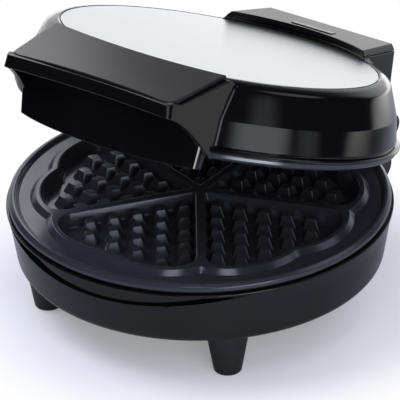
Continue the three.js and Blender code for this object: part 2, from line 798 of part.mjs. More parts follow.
function coverOutline(grow) {
  const back = cover.backHalf + grow;
  const front = cover.frontHalf + grow;
  const far = -cover.run - grow;
  const round = cover.cornerRadius + grow;
  const points = [];
  for (let i = 0; i <= cover.bowSteps; i += 1) {
    const share = 1 - (2 * i) / cover.bowSteps;
    points.push([back * share, grow - cover.backBow * (1 - share ** 2)]);
  }
  const side = new THREE.Vector2(back - front, grow - far).normalize().multiplyScalar(round);
  const nearCorner = front - round;
  const bowed = (x) => far + cover.frontBow * (1 - (x / front) ** 2);
  const turnOf = (hand) => new THREE.QuadraticBezierCurve(
    new THREE.Vector2(hand * (front + side.x), far + side.y),
    new THREE.Vector2(hand * front, far),
    new THREE.Vector2(hand * nearCorner, bowed(nearCorner)),
  ).getPoints(cover.cornerSteps).map((point) => point.toArray());
  points.push(...turnOf(-1));
  for (let i = 1; i < cover.bowSteps; i += 1) {
    const x = nearCorner * ((2 * i) / cover.bowSteps - 1);
    points.push([x, bowed(x)]);
  }
  points.push(...turnOf(1).reverse());
  return points;
}

// The cover's outline raised through a range of heights square to its sloping face
function coverPrism(grow, bottom, top) {
  const flat = raised(coverOutline(grow), bottom, top);
  return at(aboutX(flat, cover.slope), 0, cover.backY, cover.backZ);
}

function handleCover() {
  const { thickness } = cover;
  const face = raised(coverOutline(0), -thickness, -thickness / 4);
  const top = raised(coverOutline(-thickness / 5), -thickness / 2, 0);
  return at(aboutX(join(face, top), cover.slope), 0, cover.backY, cover.backZ);
}

// Plan of the handle block at a height, wider towards the lid and the bottom, drawn in by an inset
function handlePlan(inset, front, height) {
  const wide = handle.frontHalf - inset + handle.sideDraft * (handle.lipTop - height);
  const half = (y) => wide + handle.sideSlope * (y - handle.lipY);
  const round = Math.max(handle.cornerRadius - inset, cover.thickness);
  const corner = (hand) => new THREE.QuadraticBezierCurve(
    new THREE.Vector2(hand * half(front + round), front + round),
    new THREE.Vector2(hand * half(front), front),
    new THREE.Vector2(hand * (half(front) - round), front),
  ).getPoints(cover.cornerSteps).map((point) => point.toArray());
  const far = handle.innerY;
  return [[half(far), far], [-half(far), far], ...corner(-1), ...corner(1).reverse()];
}

function drafted(inset, front, bottom, top) {
  return lofted([bottom, top].map((height) => lifted(handlePlan(inset, front, height), height)));
}

function handleBlock() {
  const drop = cover.thickness / Math.cos(cover.slope);
  const underCover = (y) => coverHeight(y) - drop;
  const curve = (steps, ...points) =>
    new THREE.QuadraticBezierCurve(...points.map(([y, z]) => new THREE.Vector2(y, z)))
      .getPoints(steps).map((point) => point.toArray());
  const nose = [handle.noseY, underCover(handle.noseY)];
  const lip = [handle.lipY, handle.lipTop];
  const fin = [handle.finY, handle.finZ];
  const outline = [
    [handle.innerY, handle.innerZ],
    [cover.backY, underCover(cover.backY)],
    ...curve(handle.lipSteps, nose, [handle.lipY, nose[1]], lip),
    ...curve(handle.finSteps, [handle.lipY, handle.lipBottom], [handle.kneeY, handle.kneeZ], fin),
    [handle.innerY, handle.finZ],
  ];
  const reach = handle.kneeY - handle.lipY;
  const rings = [];
  for (let i = 0; i <= handle.spreadSteps; i += 1) {
    const x = handle.spread * ((2 * i) / handle.spreadSteps - 1);
    const bow = handle.bow * Math.max(0, 1 - (x / handle.frontHalf) ** 2);
    const share = (y) => Math.min(1, Math.max(0, (handle.kneeY - y) / reach));
    rings.push(outline.map(([y, z]) => [y + bow * share(y), z, x]));
  }
  let body = alongX(lofted(rings));
  body = body.intersect(drafted(0, handle.lipY, 2 * handle.finZ, lid.flangeBottom));
  const ceiling = handle.lipBottom + handle.recessRise;
  const mouthFront = handle.lipY + handle.lipThickness + handle.bow / 2;
  const recess = drafted(handle.finThickness, mouthFront, 3 * handle.finZ, ceiling);
  const hollow = cut(
    drafted(handle.finThickness + gap, handle.hollowFront, ceiling + handle.hollowFloor, lid.flangeBottom),
    bar(handle.hollowBack, -lid.flangeBottom, lid.flangeBottom, roundSteps),
  );
  return cut(body, recess, hollow);
}

function apronBlock() {
  const ring = (height) => {
    const grow = apron.leanShare * (height + apron.bottom);
    const [radius, half] = [apron.reach + grow, apron.halfWidth + grow];
    const swing = Math.asin(half / radius);
    const trim = apron.round / radius;
    const face = arc([0, 0], radius, -Math.PI / 2 - swing + trim, -Math.PI / 2 + swing - trim, apron.steps);
    const side = apron.round - radius * Math.cos(swing);
    const plan = [...face, [half, side], [half, handle.innerY], [-half, handle.innerY], [-half, side]];
    return lifted(plan, height);
  };
  const wallBody = lofted([ring(-apron.bottom), ring(-apron.top)]);
  const [low, high] = [-apron.bottom - overrun, overrun - apron.top];
  return wallBody.intersect(drafted(apron.sideInset, handle.lipY, low, high));
}

// Half the width of the rear block's back at a height
function rearHalf(height) {
  const stops = [
    [rear.foot, hinge.lugOuter],
    [rear.bend, rear.bendHalf],
    [rear.seam, rear.seamHalf],
    [rear.topBack, rear.topHalf],
  ];
  const above = Math.max(1, stops.findIndex(([level]) => level >= height));
  const [[low, from], [high, to]] = [stops[above - 1], stops[above]];
  return from + ((to - from) * (height - low)) / (high - low);
}

// Plan of the rear block at a height, its walls drawn in by an inset; the top slopes up to the back
function rearRing(height, inset = 0, lift = 0) {
  const share = (rear.topBack - height) / (rear.topBack - rear.foot);
  const half = rearHalf(height) - inset;
  const back = rear.backY + rear.backLean * share - inset;
  const near = half + rear.nearSpread;
  const plan = [[near, rear.nearY], [half, back], [-half, back], [-near, rear.nearY]];
  return plan.map(([x, y]) => [x, y, lift + height + rear.slope * (y - rear.backY) * (1 - share)]);
}

const rearSlab = (...heights) => lofted(heights.map((height) => rearRing(height)));

// Low flare that runs the ends of the rear block out onto the lid's round top
function rearSkirt() {
  const ring = (grow, height) => {
    const near = rearHalf(rear.seam) + rear.nearSpread + grow;
    const far = rearHalf(rear.seam) + grow;
    const plan = [[near, rear.nearY], [far, rear.backY], [-far, rear.backY], [-near, rear.nearY]];
    return plan.map(([x, y]) => [x, y, height + rear.slope * (y - rear.backY)]);
  };
  const rise = rear.seam - gap - rear.skirtFoot;
  const flare = lofted([
    ring(rear.skirt, -lid.coneTopDrop),
    ring(rear.skirt, rear.skirtFoot),
    ring(rear.skirt / 3, rear.skirtFoot + rise / 3),
    ring(0, rear.skirtFoot + rise),
  ]);
  const reach = lid.boreRadius + rear.skirtReach;
  return flare.intersect(bar(reach, -lid.flangeBottom, lid.flangeBottom, roundSteps));
}

function lidHousing() {
  const { seatHeight, seatThickness, roundTop } = lid;
  const outer = turned([
    [0, -lid.flangeBottom],
    [lid.flangeRadius - lid.flangeEdge, -lid.flangeBottom],
    [lid.flangeRadius, -lid.flangeBottom + lid.flangeEdge],
    [lid.flangeRadius, -lid.flangeTop],
    [lid.grooveRadius, -lid.flangeTop + lid.flangeEdge],
    [lid.grooveRadius, -lid.bandDrop - lid.flangeEdge],
    [lid.bandRadius, -lid.bandDrop],
    [lid.creaseRadius, -lid.creaseDrop],
    [lid.coneTopRadius, -lid.coneTopDrop],
    [lid.shoulderRadius, -lid.shoulderDrop],
    [(lid.shoulderRadius + roundTop) / 2, -lid.shoulderDrop / 3],
    [roundTop, 0],
    [0, 0],
  ]);
  const interior = turned([
    [0, -lid.flangeBottom - overrun],
    [lid.flangeRadius - 2 * lid.flangeEdge, -lid.flangeBottom - overrun],
    [lid.flangeRadius - 2 * lid.flangeEdge, -lid.flangeBottom],
    [lid.bandRadius, seatHeight],
    [base.seatInner, seatHeight],
    [base.seatInner, seatHeight + seatThickness],
    [lid.bandRadius - wall, seatHeight + seatThickness + gap],
    [lid.creaseRadius - wall, -lid.creaseDrop],
    [lid.coneTopRadius - wall, -lid.coneTopDrop - wall / 2],
    [lid.shoulderRadius - 1.4 * wall, -lid.ceiling],
    [0, -lid.ceiling],
  ]);
  const underLip = bar(apron.inner, -2 * lid.flangeBottom, -lid.flangeBottom + gap, roundSteps);
  const discBore = bar(lid.boreRadius, -lid.discSeat, lid.flangeBottom, roundSteps);
  const pocket = coverPrism(gap, -cover.thickness - gap, lid.flangeBottom);
  const rearTop = rear.topBack - rear.coverThickness - gap;
  const bayHalf = hinge.lugInner;
  const bayBack = turret.back + overrun;
  const bay = plank(-bayHalf, bayHalf, rear.innerRadius, bayBack, rear.foot - overrun, rear.bayTop);
  const roomRings = [rearRing(rear.bayTop + rear.floor, wall), rearRing(rear.bend, wall)];
  const room = cut(
    lofted([...roomRings, rearRing(rearTop, wall), rearRing(rearTop, wall, overrun)]),
    bar(rear.innerRadius + rear.arcWall, rear.foot, lid.flangeBottom, roundSteps),
  );
  const rearBlock = join(rearSlab(rear.foot, rear.bend, rearTop), rearSkirt());
  const moulded = cut(join(handleBlock(), apronBlock(), rearBlock), join(underLip, bay));
  let body = cut(join(outer, moulded), join(interior, pocket, discBore, room));
  const bore = hinge.pinRadius + hinge.pinClearance;
  for (const side of [-1, 1]) {
    const span = (from, to) => [side * from, side * to].sort((a, b) => a - b);
    const width = span(hinge.lugInner, hinge.lugOuter);
    const lug = barAlongX(hinge.barrelRadius, ...width, hingeInLid.y, hingeInLid.z);
    const hole = barAlongX(bore, ...span(0, hinge.lugOuter - hinge.lugBlind), hingeInLid.y, hingeInLid.z);
    body = cut(join(body, lug), hole);
  }
  const post = bar(pillar.radius, overheadLift + lid.ceiling - wall / 2, stack.pillarTop, bossSteps);
  const well = screwWell(overheadLift);
  body = join(body, overhead(join(...copies(post, bossPlaces()))));
  return cut(body, overhead(join(...copies(well, bossPlaces()))));
}

function discPlate() {
  const disc = bar(lid.discRadius, -lid.discThickness, 0, roundSteps);
  return cut(disc, coverPrism(2 * gap, -lid.flangeBottom, lid.flangeBottom));
}

function lensSlot(grow) {
  const [along, across] = [lens.length / 2 + grow, lens.width / 2 + grow];
  return [-along, along, lens.y - across, lens.y + across];
}

function rearCover() {
  const slab = rearSlab(rear.seam, rear.topBack);
  const slot = plank(...lensSlot(gap), -lid.flangeBottom, lid.flangeBottom);
  return cut(slab, bar(rear.innerRadius, -lid.flangeBottom, lid.flangeBottom, roundSteps), slot);
}

const lensTop = rear.topBack + rear.slope * (lens.y - rear.backY) + lens.rise;

function indicatorLens() {
  return plank(...lensSlot(0), lensTop - lens.depth, lensTop);
}

function lampHolder() {
  const { halfLength, top, thickness, postRadius } = holder;
  const depth = [lens.y - holder.lap, rear.backY - holder.backGap];
  let body = plank(-halfLength, halfLength, ...depth, top - thickness, top);
  const post = bar(postRadius, rear.bayTop + rear.floor + gap, top - thickness / 2);
  for (const side of [-1, 1]) {
    body = join(body, at(post, side * holder.postX, rear.backY - holder.postGap, 0));
  }
  return body;
}

function indicatorLamp(side) {
  const bottom = holder.top + gap;
  return at(bar(lamp.radius, bottom, bottom + lamp.length), side * lamp.spacing, lens.y, 0);
}

function thermostatBody() {
  const bottom = stack.shieldBottom - gap;
  const can = bar(thermostat.radius, bottom - thermostat.height, bottom);
  const cap = bar(thermostat.capRadius, bottom - thermostat.height - thermostat.capHeight, bottom);
  return at(join(can, cap), 0, thermostat.y, 0);
}

const materials = {};
for (const [name, look] of Object.entries(colours)) {
  materials[name] = new THREE.MeshStandardMaterial({ name, ...look });
}

function piece(name, body, finish, [x, y] = [0, 0]) {
  const mesh = new THREE.Mesh(geometryOf(body), materials[finish].clone());
  mesh.name = name;
  mesh.position.set(x, y, 0);
  return mesh;
}

function assembly(name, ...children) {
  const parent = new THREE.Group();
  parent.name = name;
  parent.add(...children);
  return parent;
}

const footNames = ['front_left', 'rear_left', 'front_right', 'rear_right'];
const footShape = footBody();
const footScrew = screwUnder(foot.height - foot.web - gap, base.floorHeight + footBoss.height);
const plateShape = at(cookingPlate(), 0, 0, plate.crestLift);
const plateScrew = screwUnder(stack.wellEnd - gap, stack.plateBack - overrun);
const bracketScrew = screwUnder(stack.bracketTop - bracket.thickness - gap, stack.plateBack - overrun);

// Cooking plate with its heating element, shield and screws, for either half
function cooker(half, ...extras) {
  return assembly(
    `${half}_cooker`,
    piece(`${half}_cooking_plate`, plateShape, 'coated'),
    ...bossPlaces().map((place, n) => piece(`${half}_plate_screw_${n + 1}`, plateScrew, 'zinc', place)),
    piece(`${half}_heating_element`, heaterRing(), 'heater'),
    piece(`${half}_element_bracket`, heaterBracket(), 'zinc'),
    piece(`${half}_bracket_screw`, bracketScrew, 'zinc'),
    piece(`${half}_heat_shield`, heatShield(), 'shield'),
    ...extras,
  );
}

const baseGroup = assembly(
  'base',
  piece('base_housing', lowerHousing(), 'gloss'),
  ...footPlaces().map((place, n) => piece(`foot_${footNames[n]}`, footShape, 'matte', place)),
  ...footPlaces().map((place, n) => piece(`foot_screw_${n + 1}`, footScrew, 'zinc', place)),
  cooker('lower', piece('thermal_fuse', thermalFuse(), 'ceramic')),
  piece('terminal_block', terminalBlock(), 'ceramic'),
  piece('cord_gland', cordGland(), 'rubber'),
  piece('hinge_pin_left', hingePin(-1), 'zinc'),
  piece('hinge_pin_right', hingePin(1), 'zinc'),
);

const upperCooker = cooker('upper', piece('thermostat', thermostatBody(), 'zinc'));
upperCooker.rotation.y = Math.PI;
upperCooker.position.z = overheadLift;

const lidGroup = assembly(
  'lid',
  piece('lid_housing', lidHousing(), 'gloss'),
  piece('handle_cover', handleCover(), 'satin'),
  piece('lid_top_disc', discPlate(), 'steel'),
  piece('rear_cover', rearCover(), 'gloss'),
  piece('indicator_lens', indicatorLens(), 'lens'),
  piece('lamp_holder', lampHolder(), 'ceramic'),
  piece('indicator_lamp_red', indicatorLamp(-1), 'red'),
  piece('indicator_lamp_green', indicatorLamp(1), 'green'),
  upperCooker,
);
lidGroup.position.set(0, -hingeInLid.y, -hingeInLid.z);

// The lid swings about the hinge; its own frame starts at the disc's face
const openAngle = radians(hinge.openAngle);
const lidSwing = assembly('lid_swing', lidGroup);
lidSwing.rotation.x = -openAngle;
lidSwing.position.set(0, hinge.y, hinge.z);

const rearReach = hinge.y
  + (rear.backY - hingeInLid.y) * Math.cos(openAngle)
  + (rear.topBack - hingeInLid.z) * Math.sin(openAngle);
const waffleMaker = assembly('heart_waffle_maker', baseGroup, lidSwing);
waffleMaker.position.y = (base.rimRadius - rearReach) / 2;

export default waffleMaker;
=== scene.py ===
"""Studio view of a heart waffle maker, dressed piece by piece around its CAD frame.

Shapes are worked out in millimetres, in the same frames as the solids: one for the base and
one for the lid, which starts at the face of its steel disc. Each finished piece is carried to
the row frame in metres, so its object sits at the origin.
"""

from __future__ import annotations

import json
import logging
import math
from dataclasses import dataclass, field
from enum import Enum
from typing import Callable, Iterable, Sequence

import bmesh
import bpy
from mathutils import Matrix, Vector

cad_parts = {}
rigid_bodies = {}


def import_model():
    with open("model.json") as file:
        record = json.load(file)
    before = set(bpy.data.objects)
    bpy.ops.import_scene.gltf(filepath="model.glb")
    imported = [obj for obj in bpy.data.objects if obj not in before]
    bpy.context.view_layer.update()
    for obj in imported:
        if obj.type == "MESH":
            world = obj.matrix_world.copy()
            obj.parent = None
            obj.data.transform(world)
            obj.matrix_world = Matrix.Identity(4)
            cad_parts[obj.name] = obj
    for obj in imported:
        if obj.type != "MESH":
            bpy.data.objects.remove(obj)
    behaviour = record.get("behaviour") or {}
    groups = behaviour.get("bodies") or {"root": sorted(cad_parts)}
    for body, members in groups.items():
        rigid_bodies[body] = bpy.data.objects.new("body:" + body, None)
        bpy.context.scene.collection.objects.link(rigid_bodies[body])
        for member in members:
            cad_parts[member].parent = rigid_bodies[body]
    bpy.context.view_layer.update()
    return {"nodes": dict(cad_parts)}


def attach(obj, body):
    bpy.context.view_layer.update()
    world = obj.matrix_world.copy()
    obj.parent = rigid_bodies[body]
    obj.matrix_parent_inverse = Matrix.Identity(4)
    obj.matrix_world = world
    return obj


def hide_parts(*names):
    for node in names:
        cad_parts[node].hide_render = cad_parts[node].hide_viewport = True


LOG = logging.getLogger("heart_waffle_maker")
MILLIMETRE = 0.001
GAP = 0.3
BELOW, ABOVE = -90.0, 40.0
LID_STEPS = 288
PLATE_STEPS = 240
FOOT_STEPS = 64
HINGE_STEPS = 48
POST_STEPS = 32
HOLE_STEPS = 24

Point = tuple[float, float]
Ring = list[tuple[float, float, float]]


class Body(Enum):
    """The two bodies of the object, by their names in the frame."""

    BASE = "base"
    LID = "lid"


# Sizes


@dataclass(frozen=True)
class HingeSizes:
    """The hinge axis, its barrel on the base and its lugs on the lid."""

    y: float = 116.4
    z: float = 65.5
    open_degrees: float = 19.74
    barrel: float = 6.6
    pin: float = 3.0
    pin_room: float = 0.35
    pin_ends: tuple[float, float] = (36.8, 47.8)
    bore_ends: tuple[float, float] = (36.5, 48.0)
    ear: float = 44.5
    lug_inner: float = 44.9
    lug_outer: float = 49.5

    def bar(self, radius: float, ends: Sequence[float], height: float, steps: int = HINGE_STEPS) -> Solid:
        """A round bar on the hinge axis, which lies at a height."""
        return Solid.bar(radius, min(ends), max(ends), steps).along_x().shifted(0, self.y, height)


@dataclass(frozen=True)
class HeartSizes:
    """The five heart moulds and the studs on their floors."""

    count: int = 5
    divider_half: float = 2.4
    lobe_radius: float = 38.5
    lobe_centre: float = 48.0
    lobe_degrees: float = 17.5
    corner_radius: float = 11.0
    draft: float = 2.4
    foot_round: float = 1.3
    edge_round: float = 0.6
    ridge_round: float = 0.5
    tip_radius: float = 1.6
    crest_band: float = 2.8
    ramp: float = 2.8
    stud_pitch: float = 13.3
    stud_first: float = 14.7
    stud_base: float = 9.6
    stud_top: float = 5.2
    stud_height: float = 6.0
    stud_reach: int = 4
    stud_diagonal: int = 5
    stud_round: float = 0.7

    @property
    def sector(self) -> float:
        """Half the angle that one mould takes."""
        return math.pi / self.count


@dataclass(frozen=True)
class PlateSizes:
    """A cooking plate, in a frame whose zero height is the crest of its round lip."""

    radius: float = 104.0
    crest_radius: float = 101.0
    lip_side: float = 3.6
    trough: float = 2.3
    ridge_rise: float = 0.5
    cavity_depth: float = 8.8
    floor: float = 3.0
    flange_drop: float = 5.7
    flange_radius: float = 102.0
    bowl_radius: float = 89.0
    boss_radius: float = 4.6
    boss_circle: float = 40.0
    boss_drop: float = 12.4
    crest_lift: float = 63.3
    closed_gap: float = 0.4
    boss_places: tuple[int, ...] = (1, 5, 9)

    def bosses(self) -> list[Point]:
        """The middles of the three screw bosses, each between two moulds."""
        return [polar(self.boss_circle, place * math.pi / HeartSizes.count) for place in self.boss_places]


@dataclass(frozen=True)
class BaseSizes:
    """The lower housing, its scoop, its feet and its turret."""

    rim_radius: float = 105.3
    rim_height: float = 57.9
    floor_height: float = 25.7
    wall: float = 2.5
    floor_radius: float = 99.8
    floor_round: float = 5.5
    side: tuple[tuple[float, ...], ...] = ((102.0, 40.0, 60), (103.5, 50.0, 40))
    rim_drop: float = 1.2
    rim_round: float = 0.6
    lining: tuple[tuple[float, ...], ...] = ((102.0, 54.6), (101.0, 50.0), (99.5, 40.0))
    lining_radius: float = 97.6
    lining_round: float = 4.0
    seat_radius: float = 103.3
    seat_inner: float = 98.4
    seat_height: float = 57.3
    seat_thickness: float = 2.2
    scoop_depth: float = 10.5
    scoop_lip: float = 1.6
    scoop_arc: float = 360.0
    scoop_back: float = 101.3
    scoop_wall: tuple[float, float] = (99.5, 101.9)
    scoop_wall_back: float = -47.0
    turret_half: float = 44.5
    turret_front: float = 93.0
    turret_back: float = 123.0
    turret_drop: float = 38.0
    turret_top: float = 57.1
    edge_round: float = 0.35
    room_low: tuple[float, float, float] = (-41.5, 88.0, 31.5)
    room_high: tuple[float, float, float] = (41.5, 120.0, 54.0)
    way_low: tuple[float, float, float] = (-40.0, 90.0, 31.5)
    way_high: tuple[float, float, float] = (40.0, 108.0, 54.0)
    post_radius: float = 6.4
    post_top: float = 38.0
    post_well: float = 4.1
    post_well_top: float = 32.5
    screw_hole: float = 2.25
    vent_count: int = 6
    vent_pitch: float = 8.0
    vent_half: tuple[float, float] = (1.5, 12.0)
    vent_corner: float = 1.4
    foot_circle: float = 84.7
    foot_top: float = 11.8
    foot_end: float = 7.7
    foot_height: float = 25.4
    foot_well: float = 4.1
    foot_web: float = 6.0


@dataclass(frozen=True)
class ScrewSizes:
    """A pan-head screw with a cross recess."""

    head_radius: float = 3.5
    head_height: float = 2.4
    head_round: float = 1.0
    shaft_radius: float = 1.9
    recess_reach: float = 2.0
    recess_half: float = 0.35
    recess_floor: float = 1.2
    end: float = 32.7


@dataclass(frozen=True)
class GlandSizes:
    """The open gland of the cord, with its neck, its collar and its rounded face."""

    height: float = 43.0
    bore: float = 3.8
    neck: float = 4.9
    neck_hole: float = 5.2
    neck_length: float = 6.3
    collar: float = 7.4
    collar_length: float = 1.4
    face: float = 6.4
    face_length: float = 2.4


@dataclass(frozen=True)
class LidSizes:
    """The lid housing, in the frame of its disc's face."""

    plate_drop: float = 40.1
    disc_radius: float = 86.5
    disc_thickness: float = 0.8
    disc_seat: float = 1.1
    bore_radius: float = 87.4
    round_top: float = 88.1
    shoulder: tuple[tuple[float, float, float], ...] = ((91.0, -0.75, 12), (94.2, -3.1, 5))
    cone_radius: float = 95.2
    cone_drop: float = 6.0
    crease_radius: float = 100.5
    crease_drop: float = 19.5
    band_radius: float = 103.0
    band_drop: float = 32.7
    groove_radius: float = 102.2
    flange_radius: float = 105.3
    flange_top: float = 34.5
    flange_bottom: float = 36.2
    wall: float = 2.5
    plate_seat: tuple[tuple[float, ...], ...] = ((103.2, -34.1), (98.4, -34.1), (98.4, -31.9))
    plate_seat_radius: float = 104.3
    lining: tuple[tuple[float, ...], ...] = ((100.5, -31.5), (98.0, -19.5), (92.8, -7.0, 6))
    lining_radius: float = 88.5
    core: tuple[tuple[float, float], ...] = ((101.6, -33), (99.4, -19.5), (94, -6.5), (89, -2.2))
    core_low: float = -60.0
    core_foot: float = -35.9
    apron_reach: float = 108.2
    apron_inner: float = 104.6
    apron_half: float = 57.0
    apron_bottom: float = 46.0
    apron_top: float = 18.0
    apron_corner: float = 4.5
    apron_lean: float = 0.107
    apron_inset: float = 1.0


@dataclass(frozen=True)
class CoverSizes:
    """The sloping cover of the handle."""

    back_y: float = -76.5
    back_z: float = 2.7
    front_y: float = -118.7
    front_z: float = -11.0
    back_half: float = 54.5
    front_half: float = 51.3
    back_bow: float = 3.6
    front_bow: float = 3.4
    corner: float = 6.5
    thickness: float = 2.2
    edge_round: float = 0.7
    under_round: float = 0.15

    @property
    def slope(self) -> float:
        """Angle of the cover's face to the disc."""
        return math.atan2(self.back_z - self.front_z, self.back_y - self.front_y)

    @property
    def run(self) -> float:
        """Length of the cover down its slope."""
        return math.hypot(self.back_z - self.front_z, self.back_y - self.front_y)

    def height(self, y: float) -> float:
        """Height of the cover's face at a distance from the middle."""
        return self.back_z + (y - self.back_y) * math.tan(self.slope)


@dataclass(frozen=True)
class HandleSizes:
    """The handle block under the cover, with its finger recess."""

    front_half: float = 52.4
    side_slope: float = 0.155
    side_draft: float = 0.092
    lip_y: float = -122.6
    lip_top: float = -16.4
    lip_bottom: float = -18.2
    nose_y: float = -120.4
    knee_y: float = -105.5
    knee_z: float = -20.0
    fin_y: float = -83.0
    fin_z: float = -43.0
    inner_y: float = -69.0
    inner_z: float = -3.2
    fin: float = 3.4
    lip: float = 4.0
    inner_corner: float = 3.6
    ceiling: float = -16.2
    bow: float = 5.0
    corner: float = 6.0
    stretch: float = 64.0
    plan_low: float = -80.0
    edge_round: float = 0.35
    tip_rise: float = 0.9
    tip_back: float = 0.5
    nose_lean: float = 0.1
    seam_round: float = 1.3
    seam_depth: float = 0.8
    seam_top: float = -2.0


@dataclass(frozen=True)
class RearSizes:
    """The hinge block at the back of the lid."""

    inner_radius: float = 87.4
    near_y: float = 60.0
    near_spread: float = 4.2
    back_y: float = 112.0
    back_lean: float = 1.6
    top_front: float = 4.9
    top_back: float = 6.3
    top_run: float = 36.7
    top_half: float = 40.9
    seam_half: float = 43.3
    bend_half: float = 45.0
    foot_half: float = 49.5
    bend: float = -24.0
    foot: float = -39.3
    bay_top: float = -31.4
    cover: float = 3.2
    skirt: float = 5.0
    skirt_foot: float = 1.0
    skirt_reach: float = 5.6
    lens_length: float = 27.0
    lens_width: float = 5.0
    lens_y: float = 93.4
    lens_rise: float = 0.4
    lens_depth: float = 4.0
    lens_corner: float = 0.8
    lens_round: float = 0.4
    block_round: float = 0.6
    cover_round: float = 0.5
    slot_corner: float = 1.0
    bay_back: float = 130.0
    room_half: float = 37.0
    room_y: tuple[float, float] = (96.0, 109.4)
    room_top: float = 20.0

    @property
    def seam(self) -> float:
        """Height of the cover's underside at the back."""
        return self.top_back - self.cover

    @property
    def slope(self) -> float:
        """How steeply the top rises to the back."""
        return (self.top_back - self.top_front) / self.top_run

    def half(self, height: float) -> float:
        """Half the block's width at its back, at a height."""
        stops = (
            (self.foot, self.foot_half),
            (self.bend, self.bend_half),
            (self.seam, self.seam_half),
            (self.top_back, self.top_half),
        )
        return read_off(stops, height)


# Outlines


def read_off(stops: Sequence[Point], place: float) -> float:
    """The value at a place, on straight lines through stops of (place, value)."""
    for (low, first), (high, last) in zip(stops, stops[1:]):
        if place <= high:
            return first + (last - first) * (place - low) / (high - low)
    return stops[-1][1]


def quarter(steps: int) -> list[float]:
    """The angles of a quarter turn, both ends included."""
    return [math.pi / 2 * step / steps for step in range(steps + 1)]


def rounded(corners: Sequence[Sequence[float]], closed: bool, fine: float = 7.5) -> list[Point]:
    """Rounds the corners of an outline that give a radius as their third number.

    Args:
        corners: corners as (x, y) or (x, y, radius).
        closed: whether the last corner joins the first.
        fine: largest turn between two points of an arc, in degrees.

    Returns:
        The outline's points.
    """
    count = len(corners)
    points: list[Point] = []
    for index, corner in enumerate(corners):
        here = Vector(corner[:2])
        radius = corner[2] if len(corner) > 2 else 0.0
        at_end = not closed and index in (0, count - 1)
        if radius <= 0 or at_end:
            points.append((here.x, here.y))
            continue
        before = Vector(corners[index - 1][:2]) - here
        after = Vector(corners[(index + 1) % count][:2]) - here
        turn = math.pi - before.angle(after)
        if turn < math.radians(1):
            points.append((here.x, here.y))
            continue
        reach = min(radius * math.tan(turn / 2), before.length * 0.49, after.length * 0.49)
        radius = reach / math.tan(turn / 2)
        start = here + before.normalized() * reach
        halfway = (before.normalized() + after.normalized()).normalized()
        middle = here + halfway * math.hypot(radius, reach)
        spoke = start - middle
        side = 1.0 if before.x * after.y - before.y * after.x < 0 else -1.0
        steps = max(2, math.ceil(math.degrees(turn) / fine))
        for step in range(steps + 1):
            angle = side * turn * step / steps
            cos, sin = math.cos(angle), math.sin(angle)
            x = middle.x + spoke.x * cos - spoke.y * sin
            points.append((x, middle.y + spoke.x * sin + spoke.y * cos))
    return points


def pad(half: float, wide: float, corner: float, y: float = 0.0) -> list[Point]:
    """A rectangle with rounded corners, its middle at a distance along Y."""
    low, high = y - wide, y + wide
    corners = [(-half, low, corner), (half, low, corner), (half, high, corner), (-half, high, corner)]
    return rounded(corners, True, 30)


def arc(centre: Point, radius: float, start: float, end: float, steps: int) -> list[Point]:
    """Points of an arc from one angle to another."""
    turns = (start + (end - start) * step / steps for step in range(steps + 1))
    return [(centre[0] + radius * math.cos(turn), centre[1] + radius * math.sin(turn)) for turn in turns]


def bezier(start: Point, control: Point, end: Point, steps: int) -> list[Point]:
    """Points of a quadratic curve."""
    points = []
    for step in range(steps + 1):
        t = step / steps
        weights = ((1 - t) ** 2, 2 * t * (1 - t), t * t)
        spots = list(zip(weights, (start, control, end)))
        points.append(tuple(sum(weight * spot[axis] for weight, spot in spots) for axis in (0, 1)))
    return points


def polar(radius: float, angle: float) -> Point:
    """A point at an angle that is counted from the front."""
    return radius * math.sin(angle), -radius * math.cos(angle)


# Solids


def linked(name: str, data: bpy.types.ID) -> bpy.types.Object:
    """A new object in the scene."""
    item = bpy.data.objects.new(name, data)
    bpy.context.scene.collection.objects.link(item)
    return item


def settled(form: bmesh.types.BMesh, name: str) -> bpy.types.Mesh:
    """A new mesh with what was built in a form, which is freed."""
    mesh = bpy.data.meshes.new(name)
    form.to_mesh(mesh)
    form.free()
    return mesh


